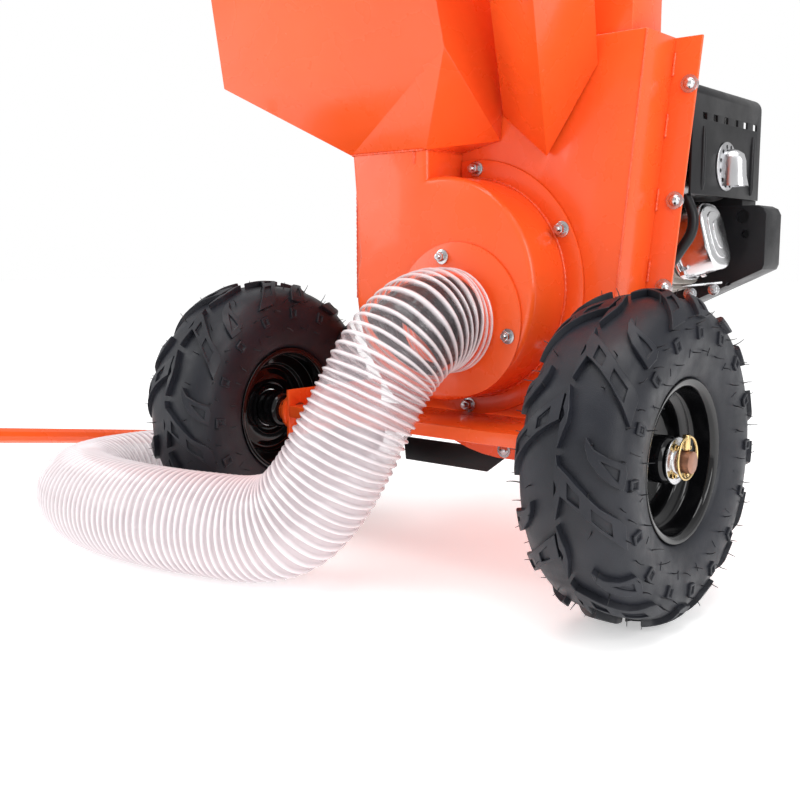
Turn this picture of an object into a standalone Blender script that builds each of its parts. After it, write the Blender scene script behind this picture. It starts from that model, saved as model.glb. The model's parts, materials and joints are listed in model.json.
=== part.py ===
"""A wheeled garden chipper, shredder and leaf vacuum, as one assembly of separate parts.

X runs along the axle, from the left wheel to the right one. Y runs from the hose port back
to the engine. Z is up, from the ground. The axle's own place along Y is axle_y, which puts
the middle of the machine's box at Y = 0. Everything else is placed from the axle.
"""

import math

import bmesh
import bpy
from mathutils import Matrix, Vector

# Driving dimensions, in metres.
gap = 0.0003                # between touching pieces
sheet = 0.0026              # sheet steel of the casings
tyre_radius = 0.1665
tyre_width = 0.118
tyre_wall = 0.009
tyre_segments = 32
track = 0.546               # between the middles of the two wheels
rim_radius = 0.0805         # outside of the rim's flanges
rim_width = 0.092
rim_sheet = 0.003
bead_radius = 0.0745
drop_radius = 0.058
hub_radius = 0.024
hub_length = 0.072
hub_plate_radius = 0.023
hub_plate_thick = 0.004
axle_radius = 0.011
axle_reach = 0.054          # axle end, from the middle of its wheel
bore_clearance = 0.0006
collar_radius = 0.025
sleeve_radius = 0.0145

rotor_z = 0.3256            # rotor and crankshaft height
housing_front = 0.0910      # front of the housing's front panel, from the axle
housing_depth = 0.070
housing_radius = 0.190      # outside of the round bottom
housing_top = 0.600
housing_flare = 0.100       # how far the right wall leans out, for each metre up
flange_lip = 0.030          # how far the engine plate stands past the housing
plate_thick = 0.004

casing_depth = 0.067        # from the housing's panel to the casing's flat front
casing_radius = 0.129
casing_lean = 0.0906        # lean of the casing's straight left wall, for each metre up
casing_top = 0.485
throat_right = -0.0185      # right wall of the throat under the hopper
ring_radius = 0.152
ring_thick = 0.003
panel_hole = 0.121

port_x = 0.0278
port_z = 0.2920
port_radius = 0.0515        # outside of the collar that the hose slips over
port_wall = 0.0025
port_reach = 0.016
cover_radius = 0.088
cover_thick = 0.003

rotor_radius = 0.172
rotor_thick = 0.010
shaft_radius = 0.0125
hammer_length = 0.075
hammer_width = 0.028
hammer_thick = 0.006
hammer_count = 2

deck_top = 0.1755
deck_front = -0.020
deck_lip = 0.0150
frame_half = 0.208          # inside face of a side plate
side_thick = 0.004
tray_z = 0.186
tray_half = 0.120
tray_length = 0.270
leg_y = 0.405
leg_radius = 0.0125

hopper_knee = 0.560         # where the funnel's left wall turns up
hopper_shelf = 0.497        # where its right wall turns up, at the back
hopper_rim_z = 0.800
hopper_left = -0.232
hopper_right = 0.037
hopper_front = -0.095
hopper_mouth = 0.022        # how much wider the mouth is than the knee, on each side

duct_left = 0.060
duct_right = 0.200
duct_top = 0.760
hood_reach = 0.120
hood_height = 0.060

chute_side = 0.071
chute_x = 0.103             # where the chute meets the housing, its lowest corner just above the disc's edge
chute_z = 0.548
chute_hole = 0.036
chute_length = 0.235

crank_tilt = math.radians(16)   # how far the cylinder leans up from level
block_front = 0.172
block_back = 0.400
block_half = 0.085
cylinder_y = 0.2775
cover_reach = 0.236             # crankshaft to the outside of the valve cover
fan_radius = 0.125
fan_depth = 0.060

knob_length = 0.012
hose_radius = 0.060

# The axle, from the middle of the machine's box: its back is the engine's knob.
engine_back = block_back + 2 * gap + fan_depth + knob_length
axle_y = (tyre_radius - engine_back) / 2

machine = "chipper_shredder_vacuum"


def clear_scene():
    for thing in list(bpy.data.objects):
        bpy.data.objects.remove(thing, do_unlink=True)


clear_scene()
parts = bpy.data.collections.new(machine)
cutters = bpy.data.collections.new("cutters")
bpy.context.scene.collection.children.link(parts)
bpy.context.scene.collection.children.link(cutters)
chassis = bpy.data.objects.new("chassis_origin", None)
chassis.location = (0, axle_y, 0)
parts.objects.link(chassis)


def paint(name, colour, roughness, metallic=0.0):
    made = bpy.data.materials.new(name)
    made.use_nodes = True
    shader = made.node_tree.nodes["Principled BSDF"]
    shader.inputs["Base Color"].default_value = (*colour, 1)
    shader.inputs["Roughness"].default_value = roughness
    shader.inputs["Metallic"].default_value = metallic
    return made


orange = paint("orange_enamel", (0.95, 0.13, 0.03), 0.3)
rubber = paint("tyre_rubber", (0.030, 0.032, 0.038), 0.6)
gloss = paint("black_gloss", (0.012, 0.012, 0.014), 0.12)
black = paint("black_plastic", (0.02, 0.02, 0.022), 0.45)
steel = paint("zinc_steel", (0.6, 0.6, 0.6), 0.3, 1.0)
bronze = paint("axle_steel", (0.35, 0.2, 0.14), 0.4, 1.0)
brass = paint("pin_brass", (0.7, 0.5, 0.25), 0.3, 1.0)
alloy = paint("cast_alloy", (0.62, 0.62, 0.63), 0.35, 1.0)
clear = paint("clear_vinyl", (0.9, 0.86, 0.87), 0.15)


def put(thing, name, material, pivot=(0, 0, 0), smooth=False):
    """Names a finished object, and moves its origin to the pivot without moving its shape."""
    thing.name = name
    thing.data.name = name
    thing.data.materials.clear()
    thing.data.materials.append(material)
    if thing.name not in parts.objects:
        parts.objects.link(thing)
    if any(pivot):
        thing.data.transform(Matrix.Translation(-Vector(pivot)) @ thing.matrix_basis)
        thing.matrix_basis = Matrix.Translation(Vector(pivot))
    if smooth and thing.type == "MESH":
        thing.data.shade_smooth()
        thing.data.set_sharp_from_angle(angle=math.radians(35))
    thing.parent = chassis
    return thing


def mesh_from(shape):
    made = bpy.data.meshes.new("shape")
    bmesh.ops.recalc_face_normals(shape, faces=shape.faces)
    shape.to_mesh(made)
    shape.free()
    return bpy.data.objects.new("shape", made)


def box(low, high, turn=None):
    low = Vector(low)
    high = Vector(high)
    size = high - low
    place = Matrix.Translation((low + high) / 2)
    if turn is not None:
        place = place @ turn
    shape = bmesh.new()
    bmesh.ops.create_cube(shape, size=1, matrix=place @ Matrix.Diagonal((*size, 1)))
    return mesh_from(shape)


def along(start, end):
    """The turn and shift that carry +Z from the origin onto the line from start to end."""
    start = Vector(start)
    way = Vector(end) - start
    return Matrix.Translation(start) @ way.to_track_quat("Z", "Y").to_matrix().to_4x4()


def rod(start, end, radius, end_radius=None, segments=24):
    length = (Vector(end) - Vector(start)).length
    shape = bmesh.new()
    bmesh.ops.create_cone(
        shape,
        cap_ends=True,
        segments=segments,
        radius1=radius,
        radius2=radius if end_radius is None else end_radius,
        depth=length,
        matrix=along(start, end) @ Matrix.Translation((0, 0, length / 2)),
    )
    return mesh_from(shape)


def turned(profile, start, end, segments=32, closed=True):
    """A profile of (radius, height) turned about the line from start to end."""
    area = sum(
        a[0] * b[1] - b[0] * a[1] for a, b in zip(profile, profile[1:] + profile[:1])
    )
    ring = profile if area < 0 else profile[::-1]
    count = len(ring)
    edges = [(i, (i + 1) % count) for i in range(count if closed else count - 1)]
    made = bpy.data.meshes.new("profile")
    made.from_pydata([(r, 0, h) for r, h in ring], edges, [])
    thing = bpy.data.objects.new("turned", made)
    screw = thing.modifiers.new("turn", "SCREW")
    screw.axis = "Z"
    screw.steps = segments
    screw.render_steps = segments
    screw.use_merge_vertices = True
    screw.merge_threshold = 0.00001
    return set_in_place(thing, along(start, end))


def set_in_place(thing, matrix):
    """Applies an object's modifiers or curve settings, and places the mesh that comes of it."""
    bpy.context.scene.collection.objects.link(thing)
    bpy.context.view_layer.update()
    graph = bpy.context.evaluated_depsgraph_get()
    made = bpy.data.meshes.new_from_object(thing.evaluated_get(graph))
    shape = bmesh.new()
    shape.from_mesh(made)
    bmesh.ops.remove_doubles(shape, verts=shape.verts, dist=0.000005)
    bmesh.ops.transform(shape, matrix=matrix, verts=shape.verts)
    shape.to_mesh(made)
    shape.free()
    bpy.data.objects.remove(thing, do_unlink=True)
    return bpy.data.objects.new("shape", made)


def flat(loops, low_y, high_y):
    """A plate that faces front and back, from closed loops of (x, z), inner ones being holes."""
    curve = bpy.data.curves.new("outline", "CURVE")
    curve.dimensions = "2D"
    curve.fill_mode = "BOTH"
    curve.extrude = (high_y - low_y) / 2
    for loop in loops:
        spline = curve.splines.new("POLY")
        spline.points.add(len(loop) - 1)
        for point, (x, z) in zip(spline.points, loop):
            point.co = (x, z, 0, 1)
        spline.use_cyclic_u = True
    thing = bpy.data.objects.new("plate", curve)
    turn = Matrix.Rotation(math.radians(90), 4, "X")
    return set_in_place(thing, Matrix.Translation((0, (low_y + high_y) / 2, 0)) @ turn)


def tube(points, radius, ring=2, closed=False):
    """A round bar along points. ring sets how many sides it has: 4 + 2 x ring."""
    curve = bpy.data.curves.new("route", "CURVE")
    curve.dimensions = "3D"
    curve.bevel_depth = radius
    curve.bevel_resolution = ring
    curve.use_fill_caps = not closed
    spline = curve.splines.new("POLY")
    spline.points.add(len(points) - 1)
    for point, place in zip(spline.points, points):
        point.co = (*place, 1)
    spline.use_cyclic_u = closed
    return set_in_place(bpy.data.objects.new("bar", curve), Matrix())


def sheet_from(corners, faces, thickness):
    """Sheet metal: an open surface given its wall on the side that its faces point away from."""
    made = bpy.data.meshes.new("surface")
    made.from_pydata(corners, [], faces)
    thing = bpy.data.objects.new("surface", made)
    wall = thing.modifiers.new("wall", "SOLIDIFY")
    wall.thickness = thickness
    wall.offset = -1
    wall.use_even_offset = True
    return set_in_place(thing, Matrix())


def combine(first, others, operation="UNION"):
    """Joins other shapes to the first, or cuts them from it."""
    if first.name not in cutters.objects:
        cutters.objects.link(first)
    for other in others:
        other.hide_render = True
        other.display_type = "WIRE"
        cutters.objects.link(other)
        step = first.modifiers.new("step", "BOOLEAN")
        step.operation = operation
        step.object = other
        step.solver = "EXACT"
    bpy.context.view_layer.update()
    graph = bpy.context.evaluated_depsgraph_get()
    made = bpy.data.meshes.new_from_object(first.evaluated_get(graph))
    for gone in [first, *others]:
        bpy.data.objects.remove(gone, do_unlink=True)
    return bpy.data.objects.new("shape", made)


def soften(thing, width, segments=2):
    bevel = thing.modifiers.new("round", "BEVEL")
    bevel.width = width
    bevel.segments = segments
    bevel.limit_method = "ANGLE"
    bevel.angle_limit = math.radians(40)
    return thing


def arc(centre, radius, start, end, steps):
    """Points of (x, z) on an arc, with angles in degrees from +X towards +Z."""
    found = []
    for i in range(steps + 1):
        angle = math.radians(start + (end - start) * i / steps)
        found.append(
            (centre[0] + radius * math.cos(angle), centre[1] + radius * math.sin(angle))
        )
    return found


# Wheels: each turns on its own fixed axle, which a side plate of the frame carries.


def tyre_section():
    """Round-shouldered tread, bulging side walls and beads, as a closed loop of (radius, across)."""
    half = tyre_width / 2
    bead = rim_width / 2 - rim_sheet - 2 * gap
    middle = (tyre_radius + bead_radius) / 2
    tall = tyre_radius - middle
    outer = []
    for i in range(11):
        angle = math.radians(-48 + 276 * i / 10)
        across = half * math.copysign(abs(math.cos(angle)) ** 0.8, math.cos(angle))
        height = middle + tall * math.copysign(abs(math.sin(angle)) ** 0.8, math.sin(angle))
        outer.append((height, across))
    inner = []
    for i in range(7):
        angle = math.radians(200 - 220 * i / 6)
        across = (half - tyre_wall) * math.cos(angle)
        inner.append((middle + (tall - tyre_wall) * math.sin(angle), across))
    base = bead_radius + 2 * gap
    right = [(base + 0.004, bead), (base, bead), (base, bead - 0.012)]
    left = [(base, -bead + 0.012), (base, -bead), (base + 0.004, -bead)]
    kept = [point for point in outer if point[0] > rim_radius + 0.001]
    return right[::-1] + kept + left[::-1] + inner


def rim_section():
    """A stepped steel rim, open to the outside, with its disc set in from the middle."""
    half = rim_width / 2
    outside = [
        (rim_radius, half),
        (rim_radius, half - rim_sheet),
        (bead_radius, half - rim_sheet),
        (bead_radius, 0.020),
        (drop_radius + 0.004, 0.014),
        (drop_radius + 0.004, -0.014),
        (bead_radius, -0.020),
        (bead_radius, -half + rim_sheet),
        (rim_radius, -half + rim_sheet),
        (rim_radius, -half),
    ]
    disc_x = -0.006
    inside = [
        (bead_radius - rim_sheet, -half),
        (bead_radius - rim_sheet, -0.022),
        (drop_radius, -0.017),
        (drop_radius, disc_x - rim_sheet),
        (hub_radius + gap, disc_x - rim_sheet),
        (hub_radius + gap, disc_x),
        (drop_radius - 0.006, disc_x),
        (drop_radius, disc_x + 0.006),
        (drop_radius, 0.012),
        (bead_radius - rim_sheet, 0.018),
        (bead_radius - rim_sheet, half),
    ]
    return outside + inside


def wheel(side, sign):
    middle = sign * track / 2

    def at(across):
        return (middle + sign * across, 0, tyre_radius)

    pivot = at(0)
    low = at(0)
    high = at(1)
    put(turned(tyre_section(), low, high, tyre_segments), f"tyre_{side}", rubber, pivot, True)
    put(turned(rim_section(), low, high, 36), f"rim_{side}", gloss, pivot, True)
    bore = axle_radius + bore_clearance
    inner = -hub_length / 2 - 0.004
    outer = hub_length / 2 + 0.0015
    hub = [
        (bore, inner),
        (hub_radius - 0.004, inner),
        (hub_radius, inner + 0.006),
        (hub_radius, outer - 0.008),
        (hub_plate_radius - 0.003, outer),
        (hub_plate_radius - 0.003, outer + hub_plate_thick),
        (bore, outer + hub_plate_thick),
    ]
    put(turned(hub, low, high, 24), f"hub_{side}", black, pivot, True)
    inside = frame_half + side_thick
    axle = rod((sign * (frame_half + gap), 0, tyre_radius), at(axle_reach), axle_radius)
    side_hole = (sign * frame_half, 0, tyre_radius)
    put(axle, f"axle_{side}", bronze, side_hole, True)
    face = inside + gap
    sleeve_end = track / 2 + inner - gap
    bush = axle_radius + gap
    spacer = [
        (bush, face),
        (collar_radius, face),
        (collar_radius, face + 0.005),
        (sleeve_radius, face + 0.005),
        (sleeve_radius, sleeve_end),
        (bush, sleeve_end),
    ]
    put(
        turned(spacer, (0, 0, tyre_radius), (sign, 0, tyre_radius), 24),
        f"axle_spacer_{side}",
        orange,
        (sign * face, 0, tyre_radius),
        True,
    )
    pin_x = middle + sign * (outer + hub_plate_thick + 0.005)
    loop_radius = 0.021
    points = []
    for i in range(25):
        angle = math.radians(-172 + 344 * i / 24)
        points.append(
            (
                pin_x + sign * 0.0015,
                loop_radius * math.sin(angle),
                tyre_radius + 0.004 - loop_radius * math.cos(angle),
            )
        )
    ring = tube(points, 0.0014, 1)
    shank = rod(
        (pin_x, 0, tyre_radius + 0.027),
        (pin_x, 0, tyre_radius + axle_radius + gap),
        0.004,
        segments=12,
    )
    return ring, shank, pin_x


for side, sign in (("left", -1), ("right", 1)):
    ring, shank, pin_x = wheel(side, sign)
    pin = combine(shank, [ring])
    put(pin, f"lynch_pin_{side}", brass, (pin_x, 0, tyre_radius))


# Frame: a folded deck between two side plates, and an engine tray on a folding leg.

housing_back = housing_front + housing_depth
deck_profile_back = housing_front - ring_thick - 2 * gap


def frame():
    low_deck = deck_top - sheet
    deck = box((-frame_half + gap, deck_front, low_deck), (frame_half - gap, deck_profile_back, deck_top))
    lip = box(
        (-frame_half + gap, deck_front, deck_top - deck_lip),
        (frame_half - gap, deck_front + sheet, deck_top - sheet / 2),
    )
    put(combine(deck, [lip]), "frame_deck", orange)
    for side, sign in (("left", -1), ("right", 1)):
        near = frame_half
        far = frame_half + side_thick
        low_x, high_x = sorted((sign * near, sign * far))
        plate = box((low_x, deck_front, 0.135), (high_x, housing_back - gap, 0.196))
        bore = rod(
            (sign * (near - 0.02), 0, tyre_radius),
            (sign * (far + 0.02), 0, tyre_radius),
            axle_radius + gap,
        )
        put(combine(plate, [bore], "DIFFERENCE"), f"frame_side_{side}", orange)


frame()


# Rotor housing: a round-bottomed trough between a front panel and the engine plate.


def trough(radius, top, grow=0.0):
    """The housing's outline as (x, z), from the top right, round the bottom, to the top left."""
    lean = math.degrees(math.atan(housing_flare))
    round_part = arc((0, rotor_z), radius + grow, -lean, -180, 28)
    start = round_part[0]
    top_x = start[0] + (top - start[1]) * housing_flare
    return [(top_x, top), *round_part, (-radius - grow, top)]


def circle(centre, radius, steps=36):
    return arc(centre, radius, 0, 360, steps)[:-1]


def strip(outer, inner):
    return outer + inner[::-1]


band_low = housing_front + sheet + gap
band_high = housing_back - gap
outline = trough(housing_radius, housing_top)
put(
    flat([strip(outline, trough(housing_radius - sheet, housing_top))], band_low, band_high),
    "housing_band",
    orange,
)
put(
    flat(
        [outline, circle((0, rotor_z), panel_hole), circle((chute_x, chute_z), chute_hole, 4)],
        housing_front,
        housing_front + sheet,
    ),
    "housing_front_panel",
    orange,
)
plate_low = housing_back
plate_high = housing_back + plate_thick
put(
    flat(
        [
            trough(housing_radius, housing_top, flange_lip),
            circle((0, rotor_z), 0.045, 24),
        ],
        plate_low,
        plate_high,
    ),
    "engine_plate",
    orange,
)
lid_right = duct_left - sheet - 2 * gap
put(
    box(
        (-housing_radius + sheet + 2 * gap, band_low, housing_top - sheet),
        (lid_right, band_high, housing_top),
    ),
    "housing_lid",
    orange,
)


# Front casing: a drum with a straight left wall that rises to the hopper.


def casing_outline(radius, left_shift, right_shift, top):
    """The casing's outline as (x, z), from the throat's top right, round the drum, to its top left."""
    foot_x = -casing_radius + 0.0088 + left_shift
    rise = 0.038
    join = math.degrees(math.asin(rise / casing_radius))
    round_start = math.degrees(math.acos((throat_right + right_shift) / radius))
    drum = arc((0, rotor_z), radius, round_start, -180 - join, 40)
    top_left = foot_x - (top - rotor_z) * casing_lean
    return [(throat_right + right_shift, top), *drum, (top_left, top)]


casing_front = housing_front - ring_thick - gap - casing_depth
casing_face = casing_front + sheet
casing_shape = casing_outline(casing_radius, 0, 0, casing_top)
casing_inside = casing_outline(casing_radius - sheet, sheet, -sheet, casing_top)
put(
    flat([strip(casing_shape, casing_inside)], casing_face + gap, housing_front - gap),
    "casing_band",
    orange,
)
port_hole = circle((port_x, port_z), port_radius - port_wall, 32)
put(flat([casing_shape, port_hole], casing_front, casing_face), "casing_front", orange)
ring_inner = casing_radius + gap
ring_low = housing_front - ring_thick - gap
cut_z = rotor_z + 0.033
ring_cut = [(-0.40, 0.52), (-0.40, cut_z), (throat_right + 0.001, cut_z)]
ring_cut.append((throat_right + 0.001, 0.52))
clamp = flat(
    [circle((0, rotor_z), ring_radius, 48), circle((0, rotor_z), ring_inner, 48)],
    ring_low,
    housing_front - gap,
)
opening = flat([ring_cut], ring_low - 0.02, housing_front + 0.02)
put(combine(clamp, [opening], "DIFFERENCE"), "casing_ring", orange)

cover_front = casing_front - gap - cover_thick
cover = [
    (port_radius - port_wall, 0),
    (cover_radius, 0),
    (cover_radius, cover_thick),
    (port_radius, cover_thick),
    (port_radius, cover_thick + port_reach),
    (port_radius - port_wall, cover_thick + port_reach),
]
cover_back = casing_front - gap
put(
    turned(cover, (port_x, cover_back, port_z), (port_x, cover_back - 1, port_z), 40),
    "port_cover",
    orange,
    (port_x, cover_back, port_z),
    True,
)


# Rotor: a disc with swinging hammers, on the engine's shaft.


def rotor():
    middle = (0, 0, rotor_z)
    disc_y = housing_front + 0.040
    pivot = (0, disc_y, rotor_z)
    disc = rod((0, disc_y, rotor_z), (0, disc_y + rotor_thick, rotor_z), rotor_radius, segments=40)
    eye = rod(
        (0, disc_y - 0.02, rotor_z),
        (0, disc_y + 0.03, rotor_z),
        shaft_radius + gap,
    )
    put(combine(disc, [eye], "DIFFERENCE"), "rotor_disc", steel, pivot)
    shaft = rod((0, disc_y - 0.012, rotor_z), (0, block_front - gap, rotor_z), shaft_radius)
    put(shaft, "rotor_shaft", steel, pivot, True)
    reach = 0.060
    pin_reach = reach + 0.010
    for i in range(hammer_count):
        turn = Matrix.Rotation(math.tau * (i + 0.5) / hammer_count, 4, "Y")
        low = (reach, disc_y - gap - hammer_thick, -hammer_width / 2)
        high = (reach + hammer_length, disc_y - gap, hammer_width / 2)
        hammer = box(low, high)
        place = Matrix.Translation(middle) @ turn
        hammer.data.transform(place)
        put(hammer, f"hammer_{i + 1}", steel, tuple(place @ Vector((pin_reach, disc_y, 0))))


rotor()


# Hopper, its swinging flap, the chipper chute and the discharge duct.


def ring_of(left, right, front, back, z):
    return [(left, front, z), (right, front, z), (right, back, z), (left, back, z)]


def funnel(levels, thickness):
    """Four walls lofted between rectangles, the inside being what the thickness grows into."""
    corners = [corner for level in levels for corner in level]
    faces = []
    for row in range(len(levels) - 1):
        for i in range(4):
            j = (i + 1) % 4
            a = 4 * row
            faces.append((a + i, a + j, a + 4 + j, a + 4 + i))
    return sheet_from(corners, faces, thickness)


hopper_back = housing_front - 4 * gap
throat_z = casing_top + gap
throat_left = -casing_radius + 0.0088 - (casing_top - rotor_z) * casing_lean
hopper = funnel(
    [
        ring_of(throat_left, throat_right, casing_front, hopper_back, throat_z),
        [
            (hopper_left, hopper_front, hopper_knee),
            (hopper_right, casing_front - 0.040, hopper_shelf + 0.090),
            (hopper_right, hopper_back, hopper_shelf),
            (hopper_left, hopper_back, hopper_knee),
        ],
        ring_of(
            hopper_left - hopper_mouth,
            hopper_right + hopper_mouth,
            hopper_front - hopper_mouth,
            hopper_back,
            hopper_rim_z,
        ),
    ],
    sheet,
)
put(hopper, "hopper", orange)
flap_y = hopper_back - sheet - 0.0045
flap_z = hopper_rim_z - 0.020
flap_left = hopper_left + 0.012
flap_right = hopper_right - 0.012
leaf = box((flap_left, flap_y - 0.002, flap_z - 0.190), (flap_right, flap_y + 0.002, flap_z - 0.002))
barrel = rod((flap_left, flap_y, flap_z), (flap_right, flap_y, flap_z), 0.004, segments=12)
put(combine(leaf, [barrel]), "hopper_flap", rubber, ((flap_left + flap_right) / 2, flap_y, flap_z))


def chipper_chute():
    start = Vector((chute_x, housing_front - 0.0028, chute_z))
    way = Vector((0.30, -0.65, 0.70)).normalized()
    side_way = way.cross(Vector((0, 0, 1))).normalized()
    up_way = side_way.cross(way).normalized()
    half = chute_side / 2
    flare = 0.066
    corners = []
    for far, reach, spread in ((0, 0, half), (1, chute_length * 0.62, half), (2, chute_length, flare)):
        for a, b in ((1, 0), (0, 1), (-1, 0), (0, -1)):
            corner = start + way * reach + (side_way * a + up_way * b) * spread * math.sqrt(2)
            if far == 0:
                corner = corner - way * ((corner.y - start.y) / way.y)
            corners.append(corner)
    faces = []
    for row in (0, 4):
        for i in range(4):
            j = (i + 1) % 4
            faces.append((row + i, row + j, row + 4 + j, row + 4 + i))
    return corners, faces


corners, faces = chipper_chute()
put(sheet_from(corners, faces, sheet), "chipper_chute", orange)

duct = funnel(
    [
        ring_of(duct_left, duct_right, band_low, band_high, housing_top - 0.022),
        ring_of(duct_left, duct_right, band_low, band_high, duct_top),
    ],
    sheet,
)
put(duct, "discharge_duct", orange)


def hood():
    """A bent deflector plate with two cheeks, hinged on the duct's left edge."""
    hinge = Vector((duct_left - 0.006, (band_low + band_high) / 2, duct_top + 0.006))
    front = band_low + 0.0005
    back = band_high + 0.006
    profile = [
        (hinge.x, hinge.z + 0.004),
        (hinge.x + 0.004, hinge.z + hood_height * 0.62),
        (hinge.x + hood_reach * 0.45, hinge.z + hood_height),
        (hinge.x + hood_reach * 1.3, hinge.z + hood_height * 0.75),
    ]
    corners = [(x, front, z) for x, z in profile] + [(x, back, z) for x, z in profile]
    low_front = (duct_right + 0.004, front, hinge.z + 0.004)
    low_back = (duct_right + 0.004, back, hinge.z + 0.004)
    corners += [low_front, low_back]
    faces = [(1, 0, 4, 5), (2, 1, 5, 6), (3, 2, 6, 7), (0, 1, 2, 3, 8), (4, 9, 7, 6, 5)]
    shell = sheet_from(corners, faces, sheet)
    return shell, hinge


shell, hinge = hood()
put(shell, "discharge_hood", orange, tuple(hinge))
guard = [(-0.172, 0.116), (-0.168, 0.084), (-0.030, 0.084), (-0.004, 0.104), (0.0, 0.116)]
put(flat([guard], plate_high + gap, plate_high + gap + 0.003), "stone_guard", rubber)


# Engine tray and folding leg.

tray_low = plate_high + 2 * gap
tray = box((-tray_half, tray_low, tray_z - 0.004), (tray_half, tray_low + tray_length, tray_z))
put(tray, "engine_tray", orange)
leg_top = tray_z - 0.004 - gap
bracket = box((-0.024, leg_y - 0.022, leg_top - 0.034), (0.024, leg_y + 0.022, leg_top))
slot = box((-0.0150, leg_y - 0.03, leg_top - 0.04), (0.0150, leg_y + 0.03, leg_top - 0.004))
leg_pivot = (0, leg_y, leg_top - 0.020)
pin_radius = 0.004
eye = rod((-0.03, leg_y, leg_pivot[2]), (0.03, leg_y, leg_pivot[2]), pin_radius + gap, segments=16)
put(combine(bracket, [slot, eye], "DIFFERENCE"), "leg_bracket", orange)
leg = rod((0, leg_y, 0.012), (0, leg_y, leg_top - 0.012), leg_radius, segments=20)
foot = rod((0, leg_y, 0.0), (0, leg_y, 0.014), 0.032, 0.026, segments=24)
pin = rod((-0.026, leg_y, leg_pivot[2]), (0.026, leg_y, leg_pivot[2]), pin_radius, segments=16)
put(combine(leg, [foot, pin]), "support_leg", black, leg_pivot)


# Engine: crankcase, leaning cylinder, covers, exhaust, tank and controls.


def lean(point):
    """A point given as (out along the cylinder, y, across it) placed on the leaning cylinder."""
    out, y, across = point
    return Vector(
        (
            out * math.cos(crank_tilt) - across * math.sin(crank_tilt),
            y,
            rotor_z + out * math.sin(crank_tilt) + across * math.cos(crank_tilt),
        )
    )


def lean_box(low, high):
    size = Vector(high) - Vector(low)
    middle = (Vector(low) + Vector(high)) / 2
    turn = Matrix.Rotation(-crank_tilt, 4, "Y")
    shape = bmesh.new()
    place = Matrix.Translation(lean(middle)) @ turn @ Matrix.Diagonal((*size, 1))
    bmesh.ops.create_cube(shape, size=1, matrix=place)
    return mesh_from(shape)


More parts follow.
